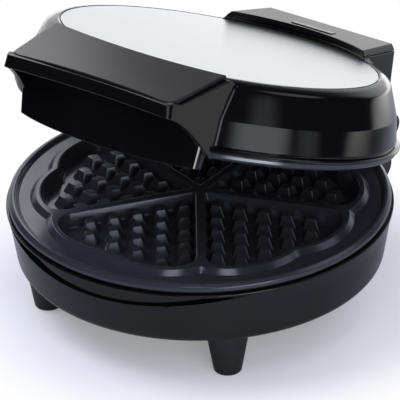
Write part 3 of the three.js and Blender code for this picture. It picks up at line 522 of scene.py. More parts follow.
class Solid:
    """A closed shape in millimetres, held as a mesh while it is cut and joined."""

    def __init__(self, mesh: bpy.types.Mesh) -> None:
        """Keeps the mesh that the shape is made of."""
        self.mesh = mesh

    @classmethod
    def from_faces(cls, spots: Sequence[Sequence[float]], faces: Sequence[Sequence[int]]) -> Solid:
        """Makes a solid from points and faces, and turns its faces out."""
        form = bmesh.new()
        verts = [form.verts.new(spot) for spot in spots]
        for face in faces:
            form.faces.new([verts[index] for index in face])
        bmesh.ops.remove_doubles(form, verts=form.verts, dist=1e-5)
        bmesh.ops.recalc_face_normals(form, faces=form.faces)
        return cls(settled(form, "solid"))

    @classmethod
    def evaluated(cls, host: bpy.types.Object) -> Solid:
        """What an object's modifiers make; the object is removed."""
        graph = bpy.context.evaluated_depsgraph_get()
        mesh = bpy.data.meshes.new_from_object(host.evaluated_get(graph))
        bpy.data.objects.remove(host)
        return cls(mesh)

    @classmethod
    def turned(cls, profile: Sequence[Point], steps: int = PLATE_STEPS) -> Solid:
        """Turns a profile of (radius, height) about Z; it ends on the axis or closes on itself."""
        spots: list[tuple[float, float, float]] = []
        rows: list[list[int]] = []
        for radius, height in profile:
            row = []
            for step in range(steps if radius > 0 else 1):
                x, y = polar(radius, 2 * math.pi * step / steps)
                row.append(len(spots))
                spots.append((x, y, height))
            rows.append(row)
        if profile[0][0] > 0:
            rows.append(rows[0])
        faces = []
        for low, high in zip(rows, rows[1:]):
            for step in range(steps):
                after = (step + 1) % steps
                below = [low[step % len(low)], low[after % len(low)]]
                over = [high[after % len(high)], high[step % len(high)]]
                unique = list(dict.fromkeys([*below, *over]))
                if len(unique) > 2:
                    faces.append(unique)
        return cls.from_faces(spots, faces)

    @classmethod
    def lofted(cls, rings: Sequence[Ring]) -> Solid:
        """Skins rings of equal point counts and closes both ends."""
        count = len(rings[0])
        spots = [spot for ring in rings for spot in ring]
        faces: list[list[int]] = [list(range(count)), [len(spots) - 1 - index for index in range(count)]]
        for level in range(len(rings) - 1):
            for index in range(count):
                after = (index + 1) % count
                low, high = level * count, (level + 1) * count
                faces.append([low + index, low + after, high + after, high + index])
        return cls.from_faces(spots, faces)

    @classmethod
    def raised(cls, outline: Sequence[Point], low: float, high: float) -> Solid:
        """Raises an outline from one height to another."""
        return cls.stacked(lambda offset: outline, [(low, 0.0), (high, 0.0)])

    @classmethod
    def stacked(cls, outline: Callable[[float], Sequence[Point]], rings: Sequence[Point]) -> Solid:
        """Skins an outline that changes with its offset, given rings of (height, offset)."""
        return cls.lofted([[(x, y, height) for x, y in outline(offset)] for height, offset in rings])

    @classmethod
    def bar(cls, radius: float, low: float, high: float, steps: int = PLATE_STEPS) -> Solid:
        """A round bar along Z."""
        return cls.turned([(0, low), (radius, low), (radius, high), (0, high)], steps)

    @classmethod
    def plank(cls, low: Sequence[float], high: Sequence[float]) -> Solid:
        """A box from its lowest to its highest corner."""
        outline = [(low[0], low[1]), (high[0], low[1]), (high[0], high[1]), (low[0], high[1])]
        return cls.raised(outline, low[2], high[2])

    def moved(self, matrix: Matrix) -> Solid:
        """A copy of the solid, carried by a matrix."""
        mesh = self.mesh.copy()
        mesh.transform(matrix)
        return Solid(mesh)

    def shifted(self, x: float, y: float, z: float) -> Solid:
        """A copy of the solid in another place."""
        return self.moved(Matrix.Translation((x, y, z)))

    def along_x(self) -> Solid:
        """A copy that lies along X, its own X along Y."""
        return self.moved(Matrix(((0, 0, 1, 0), (1, 0, 0, 0), (0, 1, 0, 0), (0, 0, 0, 1))))

    def changed(self, kind: str, **settings: object) -> Solid:
        """The solid after one modifier.

        Args:
            kind: the modifier's type.
            **settings: the modifier's settings.

        Returns:
            The new solid.
        """
        host = linked("host", self.mesh)
        modifier = host.modifiers.new(kind.lower(), kind)
        for key, value in settings.items():
            setattr(modifier, key, value)
        return Solid.evaluated(host)

    def combined(self, other: Solid, operation: str) -> Solid:
        """Joins, cuts or shares with another solid."""
        guest = linked("guest", other.mesh)
        result = self.changed("BOOLEAN", operation=operation, solver="EXACT", object=guest)
        bpy.data.objects.remove(guest)
        return result

    def joined(self, *others: Solid) -> Solid:
        """This solid joined with others."""
        result = self
        for other in others:
            result = result.combined(other, "UNION")
        return result

    def cut(self, *others: Solid) -> Solid:
        """This solid with others taken out of it."""
        result = self
        for other in others:
            result = result.combined(other, "DIFFERENCE")
        return result

    def shared(self, other: Solid) -> Solid:
        """What this solid shares with another."""
        return self.combined(other, "INTERSECT")

    def tidied(self, degrees: float = 0.2, near: float = 0.002) -> Solid:
        """Merges flat neighbouring faces and points that lie nearly on each other."""
        form = bmesh.new()
        form.from_mesh(self.mesh)
        bmesh.ops.remove_doubles(form, verts=form.verts, dist=near)
        bmesh.ops.dissolve_limit(form, angle_limit=math.radians(degrees), verts=form.verts, edges=form.edges)
        return Solid(settled(form, "tidied"))

    def softened(self, width: float, segments: int = 3, degrees: float = 32) -> Solid:
        """Rounds the solid's edges.

        Args:
            width: how far the rounding reaches from an edge.
            segments: steps across the rounding.
            degrees: smallest turn of an edge that is rounded.

        Returns:
            The rounded solid.
        """
        return self.tidied(near=0.03).changed(
            "BEVEL",
            width=width,
            segments=segments,
            limit_method="ANGLE",
            angle_limit=math.radians(degrees),
            use_clamp_overlap=False,
            miter_outer="MITER_ARC",
        )


# Shader nodes


def add_node(
    tree: bpy.types.NodeTree,
    kind: str,
    settings: dict[str, object] | None,
    inputs: dict[int | str, object] | None,
) -> bpy.types.Node:
    """Adds a node to a tree.

    Args:
        tree: the tree.
        kind: the node's type.
        settings: settings, set first.
        inputs: values or sockets to link from, by name or number.

    Returns:
        The node.
    """
    node = tree.nodes.new(kind)
    for key, value in (settings or {}).items():
        setattr(node, key, value)
    for key, value in (inputs or {}).items():
        if isinstance(value, bpy.types.NodeSocket):
            tree.links.new(value, node.inputs[key])
        else:
            node.inputs[key].default_value = value
    return node


class Signal:
    """A number that runs through a shader, worked on with Python's operators."""

    def __init__(self, shader: Shader, socket: bpy.types.NodeSocket) -> None:
        """Keeps the socket and the shader that it belongs to."""
        self.shader = shader
        self.socket = socket

    def _with(self, operation: str, first: object, second: object) -> Signal:
        """Adds one Math node on two values."""
        return self.shader.node("ShaderNodeMath", {"operation": operation}, {0: first, 1: second})

    def __add__(self, other: object) -> Signal:
        """Sum."""
        return self._with("ADD", self, other)

    def __mul__(self, other: object) -> Signal:
        """Product."""
        return self._with("MULTIPLY", self, other)

    def __rsub__(self, other: object) -> Signal:
        """Difference the other way."""
        return self._with("SUBTRACT", other, self)

    def around(self, middle: float, reach: float) -> Signal:
        """Stretches values of 0 to 1 to a reach on both sides of a middle."""
        return self * (2 * reach) + (middle - reach)

    def between(self, low: float, high: float) -> Signal:
        """Maps a stretch of values to 0 to 1, smoothly and clamped."""
        return self.shader.node(
            "ShaderNodeMapRange",
            {"interpolation_type": "SMOOTHSTEP"},
            {"Value": self, "From Min": low, "From Max": high},
        )


class Shader:
    """Builds the nodes of one material or of the world."""

    def __init__(self, tree: bpy.types.NodeTree) -> None:
        """Empties the tree and keeps it."""
        tree.nodes.clear()
        self.tree = tree

    def node(
        self,
        kind: str,
        settings: dict[str, object] | None = None,
        inputs: dict[int | str, object] | None = None,
        output: int | str = 0,
    ) -> Signal:
        """Adds a node.

        Args:
            kind: the node's type.
            settings: settings, set first.
            inputs: values or signals of its sockets, by name or number.
            output: the socket that the signal carries on from.

        Returns:
            The signal of that output.
        """
        given = {
            key: value.socket if isinstance(value, Signal) else value for key, value in (inputs or {}).items()
        }
        return Signal(self, add_node(self.tree, kind, settings, given).outputs[output])

    def place(self, scale: Sequence[float] = (1, 1, 1)) -> Signal:
        """The place on a piece, in millimetres, scaled for a pattern."""
        spot = self.node("ShaderNodeTexCoord", output="Object")
        grown = tuple(share / MILLIMETRE for share in scale)
        return self.node("ShaderNodeMapping", {}, {"Vector": spot, "Scale": grown})

    def noise(self, place: Signal, scale: float, detail: float = 2.0, rough: float = 0.5) -> Signal:
        """Plain noise at a scale per millimetre."""
        inputs = {"Vector": place, "Scale": scale, "Detail": detail, "Roughness": rough}
        return self.node("ShaderNodeTexNoise", {"noise_dimensions": "3D"}, inputs, "Fac")

    def blend(self, share: Signal, low: Sequence[float], high: Sequence[float]) -> Signal:
        """Mixes two colours."""
        inputs = {"Factor": share, 6: (*low, 1.0), 7: (*high, 1.0)}
        return self.node("ShaderNodeMix", {"data_type": "RGBA"}, inputs, 2)

    def bump(self, height: Signal, distance: float, strength: float = 1.0) -> Signal:
        """A bump of a height in millimetres."""
        inputs = {"Height": height, "Distance": distance * MILLIMETRE, "Strength": strength}
        return self.node("ShaderNodeBump", {}, inputs, "Normal")

    def surface(self, **sockets: object) -> None:
        """Ends the material in one Principled shader.

        Args:
            **sockets: its sockets' values or signals, with "_" for a space.
        """
        inputs = {key.replace("_", " "): value for key, value in sockets.items()}
        shader = self.node("ShaderNodeBsdfPrincipled", {}, inputs)
        self.node_output("ShaderNodeOutputMaterial", shader)

    def node_output(self, kind: str, shader: Signal) -> None:
        """Ends the tree in its output."""
        target = self.tree.nodes.new(kind)
        self.tree.links.new(shader.socket, target.inputs["Surface"])


# Finishes


@dataclass(frozen=True)
class Finish:
    """A finish: its name and the way its material is made."""

    name: str

    def material(self) -> bpy.types.Material:
        """The finish's material, made once."""
        known = bpy.data.materials.get(self.name)
        if known is not None:
            return known
        material = bpy.data.materials.new(self.name)
        material.use_nodes = True
        self.dress(Shader(material.node_tree))
        return material

    def dress(self, shader: Shader) -> None:
        """Builds the finish's nodes."""
        raise NotImplementedError


@dataclass(frozen=True)
class Plastic(Finish):
    """Moulded plastic, from high gloss to fine matt."""

    colour: tuple[float, float, float] = (0.01, 0.01, 0.012)
    roughness: float = 0.1
    variation: float = 0.04
    grain: float = 0.4
    grain_depth: float = 0.004
    cloud: float = 0.03
    lighter: float = 1.35
    lift: float = 0.002

    def dress(self, shader: Shader) -> None:
        """Slightly uneven gloss and a very low surface ripple."""
        place = shader.place()
        cloud = shader.noise(place, self.cloud, 3)
        grain = shader.noise(place, self.grain, 2)
        lighter = tuple(min(1.0, channel * self.lighter + self.lift) for channel in self.colour)
        shader.surface(
            Base_Color=shader.blend(cloud, self.colour, lighter),
            Roughness=cloud.around(self.roughness, self.variation),
            Normal=shader.bump(grain, self.grain_depth),
            IOR=1.5,
        )


@dataclass(frozen=True)
class NonStick(Finish):
    """Dark baked coating on cast aluminium, with fine speckles."""

    colour: tuple[float, float, float] = (0.022, 0.022, 0.032)
    speck: tuple[float, float, float] = (0.045, 0.045, 0.06)
    tint: tuple[float, float, float] = (0.8, 0.84, 1.0)
    roughness: float = 0.2
    speckles: float = 3.2
    speckle_band: tuple[float, float] = (0.6, 0.72)
    speckle_share: float = 0.5
    speckle_rough: float = 0.08
    cloud: float = 0.05
    cloud_share: float = 0.25
    cloud_rough: float = 0.12
    pebbles: float = 1.6
    pebble_depth: float = 0.008

    def dress(self, shader: Shader) -> None:
        """Speckled colour, a soft sheen and a fine pebbled surface."""
        place = shader.place()
        speckle = shader.noise(place, self.speckles, 1).between(*self.speckle_band)
        cloud = shader.noise(place, self.cloud, 3)
        pebble = shader.noise(place, self.pebbles, 2)
        share = speckle * self.speckle_share + cloud * self.cloud_share
        uneven = cloud * self.cloud_rough + speckle * self.speckle_rough
        shader.surface(
            Base_Color=shader.blend(share, self.colour, self.speck),
            Roughness=uneven + (self.roughness - self.speckle_rough),
            Normal=shader.bump(pebble, self.pebble_depth),
            Specular_Tint=(*self.tint, 1.0),
            IOR=1.6,
        )


@dataclass(frozen=True)
class BrushedMetal(Finish):
    """Bare metal with fine straight brush lines along X."""

    colour: tuple[float, float, float] = (0.87, 0.872, 0.88)
    dark: tuple[float, float, float] = (0.76, 0.763, 0.775)
    roughness: float = 0.3
    lines: float = 5.0
    stretch: float = 0.012
    broad_lines: float = 0.12
    fine_share: float = 0.7
    variation: float = 0.07
    depth: float = 0.003

    def dress(self, shader: Shader) -> None:
        """Brush lines in colour, roughness and bump."""
        place = shader.place((self.stretch, 1, 1))
        fine = shader.noise(place, self.lines, 3, 0.7)
        broad = shader.noise(place, self.lines * self.broad_lines, 2)
        share = fine * self.fine_share + broad * (1 - self.fine_share)
        shader.surface(
            Base_Color=shader.blend(share, self.dark, self.colour),
            Roughness=fine.around(self.roughness, self.variation),
            Normal=shader.bump(fine, self.depth),
            Metallic=1.0,
        )


@dataclass(frozen=True)
class PlainMetal(Finish):
    """Dull worked metal: plated, sheathed or rolled."""

    colour: tuple[float, float, float] = (0.5, 0.52, 0.54)
    dark: tuple[float, float, float] = (0.34, 0.35, 0.37)
    roughness: float = 0.4
    variation: float = 0.1
    cloud: float = 0.18
    pits: float = 1.5
    pit_depth: float = 0.006

    def dress(self, shader: Shader) -> None:
        """Cloudy colour and gloss."""
        place = shader.place()
        cloud = shader.noise(place, self.cloud, 4, 0.6)
        shader.surface(
            Base_Color=shader.blend(cloud, self.dark, self.colour),
            Roughness=cloud.around(self.roughness, self.variation),
            Normal=shader.bump(shader.noise(place, self.pits, 2), self.pit_depth),
            Metallic=1.0,
        )


class Finishes:
    """All the finishes of the object."""

    gloss = Plastic("gloss_black_plastic", (0.002, 0.002, 0.0028), 0.1, 0.03, 0.12, 0.004)
    satin = Plastic("satin_grey_paint", (0.009, 0.0085, 0.012), 0.26, 0.03, 3.0, 0.004)
    matte = Plastic("matt_black_plastic", (0.007, 0.007, 0.009), 0.34, 0.05, 2.2, 0.012)
    rubber = Plastic("black_rubber", (0.012, 0.012, 0.013), 0.62, 0.08, 1.2, 0.02)
    ceramic = Plastic("white_ceramic", (0.74, 0.71, 0.64), 0.5, 0.06, 1.0, 0.01)
    lens = Plastic("smoked_lens", (0.02, 0.018, 0.02), 0.12, 0.03, 0.3, 0.004)
    red = Plastic("red_lamp", (0.55, 0.02, 0.01), 0.15, 0.03)
    green = Plastic("green_lamp", (0.02, 0.35, 0.05), 0.15, 0.03)
    coating = NonStick("non_stick_coating")
    disc = BrushedMetal("brushed_steel_disc")
    zinc = PlainMetal("zinc_plated_steel", (0.56, 0.58, 0.6), (0.4, 0.41, 0.43), 0.38)
    heater = PlainMetal("heater_sheath", (0.2, 0.19, 0.18), (0.11, 0.1, 0.1), 0.5)
    shield = PlainMetal("shield_sheet", (0.6, 0.62, 0.64), (0.48, 0.5, 0.52), 0.3)


# Geometry nodes


class Graph:
    """Builds one geometry tree with named inputs."""

    def __init__(self, name: str, source: Solid) -> None:
        """Starts a tree with one geometry output and the solid that it sets out."""
        self.tree = bpy.data.node_groups.new(name, "GeometryNodeTree")
        self.tree.interface.new_socket("Geometry", in_out="OUTPUT", socket_type="NodeSocketGeometry")
        self.inlet = self.tree.nodes.new("NodeGroupInput")
        self.values: dict[str, object] = {}
        self.source = linked(f"{name}_source", source.mesh)
        inputs = {"Object": self.value("Piece", "Object", self.source)}
        self.piece = self.node("GeometryNodeObjectInfo", {}, inputs, "Geometry")

    def value(self, name: str, kind: str, value: object) -> bpy.types.NodeSocket:
        """Adds a named input with its value.

        Args:
            name: the input's name.
            kind: the socket's type, such as Float or Int.
            value: the value that the modifier gives it.

        Returns:
            The socket to link from.
        """
        socket = self.tree.interface.new_socket(name, in_out="INPUT", socket_type=f"NodeSocket{kind}")
        self.values[socket.identifier] = value
        return self.inlet.outputs[name]

    def node(
        self,
        kind: str,
        settings: dict[str, object] | None = None,
        inputs: dict[int | str, object] | None = None,
        output: int | str = 0,
    ) -> bpy.types.NodeSocket:
        """Adds a node and gives back one of its outputs.

        Args:
            kind: the node's type.
            settings: settings, set first.
            inputs: values or sockets, by name or number.
            output: the output to give back.

        Returns:
            That output.
        """
        return add_node(self.tree, kind, settings, inputs).outputs[output]

    def sum(self, operation: str, first: object, second: object = 0.0) -> bpy.types.NodeSocket:
        """One Math node."""
        return self.node("ShaderNodeMath", {"operation": operation}, {0: first, 1: second})

    def vector(self, **parts: object) -> bpy.types.NodeSocket:
        """A vector of the parts that are given, by their axes."""
        inputs = {axis.upper(): value for axis, value in parts.items()}
        return self.node("ShaderNodeCombineXYZ", {}, inputs)

    def copies(
        self,
        points: bpy.types.NodeSocket,
        piece: bpy.types.NodeSocket,
        turn: object = (0, 0, 0),
    ) -> bpy.types.NodeSocket:
        """Copies of a piece on points, with one turn each."""
        inputs = {"Points": points, "Instance": piece, "Rotation": turn}
        return self.node("GeometryNodeInstanceOnPoints", {}, inputs)

    def solid(self, geometry: bpy.types.NodeSocket, finish: Finish) -> Solid:
        """Ends the tree, runs it and gives back what it makes.

        Args:
            geometry: the instances to make real.
            finish: the finish that they get.

        Returns:
            The plain solid.
        """
        real = self.node("GeometryNodeRealizeInstances", {}, {0: geometry})
        inputs = {"Geometry": real, "Material": finish.material()}
        dressed = self.node("GeometryNodeSetMaterial", {}, inputs)
        outlet = self.tree.nodes.new("NodeGroupOutput")
        self.tree.links.new(dressed, outlet.inputs[0])
        host = linked("host", bpy.data.meshes.new("empty"))
        modifier = host.modifiers.new("nodes", "NODES")
        modifier.node_group = self.tree
        for identifier, value in self.values.items():
            modifier[identifier] = value
        made = Solid.evaluated(host)
        bpy.data.objects.remove(self.source)
        return made


def round_copies(name: str, source: Solid, count: int, radius: float, start: float, finish: Finish) -> Solid:
    """Stands copies of a piece on a circle, by a geometry tree.

    Args:
        name: the tree's name.
        source: the piece to copy, at the origin.
        count: how many copies.
        radius: the circle's radius, in millimetres.
        start: the first copy's angle from the front, in radians.
        finish: the finish of the copies.

    Returns:
        All the copies as one solid.
    """
    graph = Graph(name, source)
    number = graph.value("Count", "Int", count)
    reach = graph.value("Radius", "Float", radius)
    first = graph.value("Start", "Float", start)
    index = graph.node("GeometryNodeInputIndex")
    step = graph.sum("DIVIDE", 2 * math.pi, number)
    angle = graph.sum("ADD", graph.sum("MULTIPLY", index, step), first)
    across = graph.sum("MULTIPLY", graph.sum("SINE", angle), reach)
    back = graph.sum("MULTIPLY", graph.sum("COSINE", angle), graph.sum("MULTIPLY", reach, -1.0))
    inputs = {"Count": number, "Position": graph.vector(x=across, y=back)}
    points = graph.node("GeometryNodePoints", {}, inputs)
    return graph.solid(graph.copies(points, graph.piece, graph.vector(z=angle)), finish)


# Placing and showing


@dataclass
class Placing:
    """Carries shapes from the base's and the lid's own frames to the row frame, in metres."""

    hinge: HingeSizes = HingeSizes()
    plate: PlateSizes = PlateSizes()
    lid: LidSizes = LidSizes()
    rear: RearSizes = RearSizes()
    base: BaseSizes = BaseSizes()

    @property
    def closed_height(self) -> float:
        """Height of the disc's face with the lid shut."""
        plate = self.plate
        return plate.crest_lift + 2 * plate.ridge_rise + plate.closed_gap + self.lid.plate_drop

    @property
    def hinge_in_lid(self) -> float:
        """Height of the hinge in the lid's frame."""
        return self.hinge.z - self.closed_height

    @property
    def shift(self) -> float:
        """How far the whole object moves along Y, so that its box stands on the origin."""
        angle = math.radians(self.hinge.open_degrees)
        back = (self.rear.back_y - self.hinge.y) * math.cos(angle)
        rise = (self.rear.top_back - self.hinge_in_lid) * math.sin(angle)
        return (self.base.rim_radius - (self.hinge.y + back + rise)) / 2

    def matrix(self, body: Body) -> Matrix:
        """The matrix of a body's own frame.

        Args:
            body: the body.

        Returns:
            The matrix from millimetres there to metres in the row frame.
        """
        matrix = Matrix.Scale(MILLIMETRE, 4) @ Matrix.Translation((0, self.shift, 0))
        if body is Body.BASE:
            return matrix
        swing = Matrix.Rotation(-math.radians(self.hinge.open_degrees), 4, "X")
        to_hinge = Matrix.Translation((0, self.hinge.y, self.hinge.z))
        from_hinge = Matrix.Translation((0, -self.hinge.y, -self.hinge_in_lid))
        return matrix @ to_hinge @ swing @ from_hinge


@dataclass
class Showroom:
    """Turns solids into finished pieces that ride on their bodies."""

    placing: Placing

    def show(
        self,
        name: str,
        solid: Solid,
        finish: Finish,
        body: Body,
        nodes: Sequence[str],
        slot: str,
        crease: float = 36,
    ) -> bpy.types.Object:
        """Finishes a piece.

        Args:
            name: the piece's name.
            solid: its shape in its body's own frame.
            finish: its finish.
            body: the body that it moves with.
            nodes: the CAD nodes that it stands for.
            slot: the record's material slot; not used.
            crease: smallest turn of an edge that shows as sharp, in degrees.

        Returns:
            The piece's object.
        """
        mesh = solid.moved(self.placing.matrix(body)).mesh
        mesh.name = name
        mesh.materials.clear()
        mesh.materials.append(finish.material())
        for polygon in mesh.polygons:
            polygon.material_index = 0
        mesh.shade_smooth()
        mesh.set_sharp_from_angle(angle=math.radians(crease))
        even = Solid(mesh).changed("WEIGHTED_NORMAL", keep_sharp=True)
        piece = linked(name, even.mesh)
        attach(piece, body.value)
        if nodes:
            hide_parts(*nodes)
        LOG.info("%s: %d faces, on %s", name, len(even.mesh.polygons), body.value)
        return piece


# Cooking plates


@dataclass
class CookingPlate:
    """The plate with its round lip, scalloped ridge, heart moulds and studs."""

    sizes: PlateSizes = PlateSizes()
    heart: HeartSizes = HeartSizes()
    lobe_steps: int = 20
    corner_steps: int = 8
    round_steps: int = 4

    def mould_outline(self, inset: float) -> list[Point]:
        """The outline of one mould about the X axis, its tip at the middle.

        Args:
            inset: how far every wall is drawn in.

        Returns:
            The outline's points.
        """
        heart = self.heart
        side = heart.divider_half + inset
        lobe = heart.lobe_radius - inset
        corner = heart.corner_radius - inset
        tilt = math.radians(heart.lobe_degrees)
        along = Vector((math.cos(heart.sector), math.sin(heart.sector)))
        inward = Vector((along.y, -along.x))
        middle = Vector((math.cos(tilt), math.sin(tilt))) * heart.lobe_centre
        start = inward * (side + corner) - middle
        half = start.dot(along)
        reach = math.sqrt(half * half - start.length_squared + (lobe - corner) ** 2) - half
        turn = inward * (side + corner) + along * reach
        to_lobe = math.atan2(turn.y - middle.y, turn.x - middle.x)
        notch = math.sqrt(lobe**2 - middle.y**2)
        to_notch = math.atan2(-middle.y, notch)
        tip = side / math.sin(heart.sector)
        reach_tip = heart.tip_radius / math.tan(heart.sector)
        beside = (tip + reach_tip * along.x, reach_tip * along.y)
        round_tip = bezier((beside[0], -beside[1]), (tip, 0.0), beside, 6)[3:]
        upper = [
            *round_tip,
            *arc(tuple(turn), corner, heart.sector + math.pi / 2, to_lobe, self.corner_steps),
            *arc(tuple(middle), lobe, to_lobe, to_notch, self.lobe_steps)[1:],
        ]
        lower = [(x, -y) for x, y in upper[1:-1]][::-1]
        return [*upper, *lower][::-1]

    def scallop(self, offset: float) -> list[Point]:
        """The outline round all the lobes at a distance, with a mitre at each meeting."""
        heart = self.heart
        tilt = math.radians(heart.lobe_degrees)
        lobe = heart.lobe_radius + offset
        points = []
        for mould in range(heart.count):
            for hand in (-1, 1):
                middle = mould * 2 * heart.sector + hand * tilt
                low = -heart.sector + tilt if hand < 0 else -tilt
                high = tilt if hand < 0 else heart.sector - tilt
                for step in range(self.lobe_steps):
                    swing = low + (high - low) * step / self.lobe_steps
                    across = heart.lobe_centre * math.sin(swing)
                    radius = heart.lobe_centre * math.cos(swing) + math.sqrt(lobe**2 - across**2)
                    points.append(polar(radius, middle + swing))
        return points

    def mould(self) -> Solid:
        """The solid that one heart mould is pressed with, its edges rounded."""
        sizes, heart = self.sizes, self.heart
        top = sizes.ridge_rise
        floor = top - sizes.cavity_depth
        slope = heart.draft / sizes.cavity_depth
        turns = quarter(self.round_steps)
        rings = []
        for angle in turns:
            rise = heart.foot_round * (1 - math.cos(angle))
            inset = heart.draft + heart.foot_round * (1 - math.sin(angle)) - slope * rise
            rings.append((floor + rise, inset))
        for angle in turns:
            drop = heart.edge_round * (1 - math.sin(angle))
            rings.append((top - drop, slope * drop - heart.edge_round * (1 - math.cos(angle))))
        rings.append((top + 2, -heart.edge_round * 1.2))
        return Solid.stacked(self.mould_outline, rings)

    def ridge(self) -> Solid:
        """The raised scalloped ridge with its sloping ramp."""
        sizes, heart = self.sizes, self.heart
        top, edge = sizes.ridge_rise, heart.ridge_round
        spread = heart.ramp / (top + sizes.trough)
        buried = -sizes.trough - 0.8
        rings = [(buried, heart.crest_band + spread * (top - buried))]
        rings.append((top - edge * 0.7, heart.crest_band + spread * edge * 0.7))
        rings.append((top - edge * 0.25, heart.crest_band + spread * edge * 0.12))
        rings.append((top, heart.crest_band - edge * 0.8))
        return Solid.stacked(self.scallop, rings)

    def stud(self) -> Solid:
        """One stud: a four-sided frustum with a rhombic foot."""
        heart = self.heart
        floor = self.sizes.ridge_rise - self.sizes.cavity_depth
        cos, sin = math.cos(heart.sector), math.sin(heart.sector)

        def ring(size: float) -> list[Point]:
            half = size / 2
            signs = ((-1, -1), (-1, 1), (1, 1), (1, -1))
            corners = [((a + b) * cos * half, (a - b) * sin * half) for a, b in signs]
            return rounded([(*corner, heart.stud_round) for corner in corners], True, 30)

        top = floor + heart.stud_height
        lean = (heart.stud_base - heart.stud_top) / heart.stud_height
        buried = 0.5
        rings = [
            (floor - buried, heart.stud_base + lean * buried),
            (top - buried, heart.stud_top + lean * buried),
            (top - 0.12, heart.stud_top + 0.05),
            (top, heart.stud_top - heart.stud_round),
        ]
        return Solid.stacked(ring, rings)

    def studs(self) -> Solid:
        """All the studs of all the moulds, set out by a geometry tree."""
        heart = self.heart
        graph = Graph("stud_lattice", self.stud())
        pitch = graph.value("Pitch", "Float", heart.stud_pitch)
        first = graph.value("First", "Float", heart.stud_first)
        side = graph.value("Reach", "Int", heart.stud_reach + 1)
        diagonal = graph.value("Diagonal", "Float", heart.stud_diagonal + 0.5)
        moulds = graph.value("Moulds", "Int", heart.count)
        span = graph.sum("SUBTRACT", side, 1.0)
        grid_inputs = {"Size X": span, "Size Y": span, "Vertices X": side, "Vertices Y": side}
        grid = graph.node("GeometryNodeMeshGrid", {}, grid_inputs, "Mesh")
        spot = graph.node("GeometryNodeInputPosition")
        half = graph.sum("DIVIDE", span, 2.0)
        row = graph.sum("ADD", graph.node("ShaderNodeSeparateXYZ", {}, {0: spot}, 0), half)
        column = graph.sum("ADD", graph.node("ShaderNodeSeparateXYZ", {}, {0: spot}, 1), half)
        both = graph.sum("ADD", row, column)
        over = graph.node("FunctionNodeCompare", {"operation": "GREATER_THAN"}, {0: both, 1: diagonal})
        inputs = {"Geometry": grid, "Selection": over}
        kept = graph.node("GeometryNodeDeleteGeometry", {"domain": "POINT"}, inputs)
        step = graph.sum("MULTIPLY", pitch, math.cos(heart.sector))
        out = graph.sum("ADD", graph.sum("MULTIPLY", both, step), first)
        across = graph.sum("MULTIPLY", pitch, math.sin(heart.sector))
        aside = graph.sum("MULTIPLY", graph.sum("SUBTRACT", row, column), across)
        inputs = {"Geometry": kept, "Position": graph.vector(x=out, y=aside)}
        lattice = graph.node("GeometryNodeSetPosition", {}, inputs)
        mould = graph.copies(lattice, graph.piece)
        index = graph.node("GeometryNodeInputIndex")
        turn = graph.sum("MULTIPLY", index, graph.sum("DIVIDE", 2 * math.pi, moulds))
        angle = graph.vector(z=graph.sum("SUBTRACT", turn, math.pi / 2))
        centres = graph.node("GeometryNodePoints", {}, {"Count": moulds})
        return graph.solid(graph.copies(centres, mould, angle), Finishes.coating)

    def body(self) -> Solid:
        """The plate without its studs."""
        sizes, heart = self.sizes, self.heart
        lip = sizes.radius - sizes.crest_radius
        back = sizes.ridge_rise - sizes.cavity_depth - sizes.floor
        profile = rounded(
            [
                (0, back),
                (sizes.bowl_radius, back, 2),
                (sizes.bowl_radius + 1.25, -sizes.flange_drop, 1),
                (sizes.flange_radius, -sizes.flange_drop, 0.3),
                (sizes.radius, -sizes.lip_side, 0.5),
                (sizes.radius - lip * 0.06, -sizes.lip_side * 0.4, 1.2),
                (sizes.crest_radius + lip * 0.3, -0.02, 1.6),
                (sizes.crest_radius - lip * 0.3, -0.02, 1.4),
                (sizes.crest_radius - lip * 0.8, -sizes.trough, 1.2),
                (0, -sizes.trough),
            ],
            False,
        )
        body = Solid.turned(profile).joined(self.ridge())
        mould = self.mould()
        for number in range(heart.count):
            turn = Matrix.Rotation(number * 2 * heart.sector - math.pi / 2, 4, "Z")
            body = body.cut(mould.moved(turn))
        boss = Solid.bar(sizes.boss_radius, back - sizes.boss_drop, back + 1, POST_STEPS)
        for x, y in sizes.bosses():
            body = body.joined(boss.shifted(x, y, 0))
        return body.tidied()

    def solid(self) -> Solid:
        """The whole plate: its body and its studs, which stand sunk in the mould floors."""
        form = bmesh.new()
        form.from_mesh(self.body().mesh)
        form.from_mesh(self.studs().mesh)
        return Solid(settled(form, "plate"))

    def build(self, room: Showroom) -> None:
        """Shows the plate in both halves.

        Args:
            room: where the pieces are shown.
        """
        plate = self.solid()
        slot = "coated_aluminium"
        lower = plate.shifted(0, 0, self.sizes.crest_lift)
        room.show("lower_plate", lower, Finishes.coating, Body.BASE, ["lower_cooking_plate"], slot)
        drop = Matrix.Translation((0, 0, -room.placing.lid.plate_drop))
        upper = plate.moved(drop @ Matrix.Rotation(math.pi, 4, "Y"))
        room.show("upper_plate", upper, Finishes.coating, Body.LID, ["upper_cooking_plate"], slot)


# Base


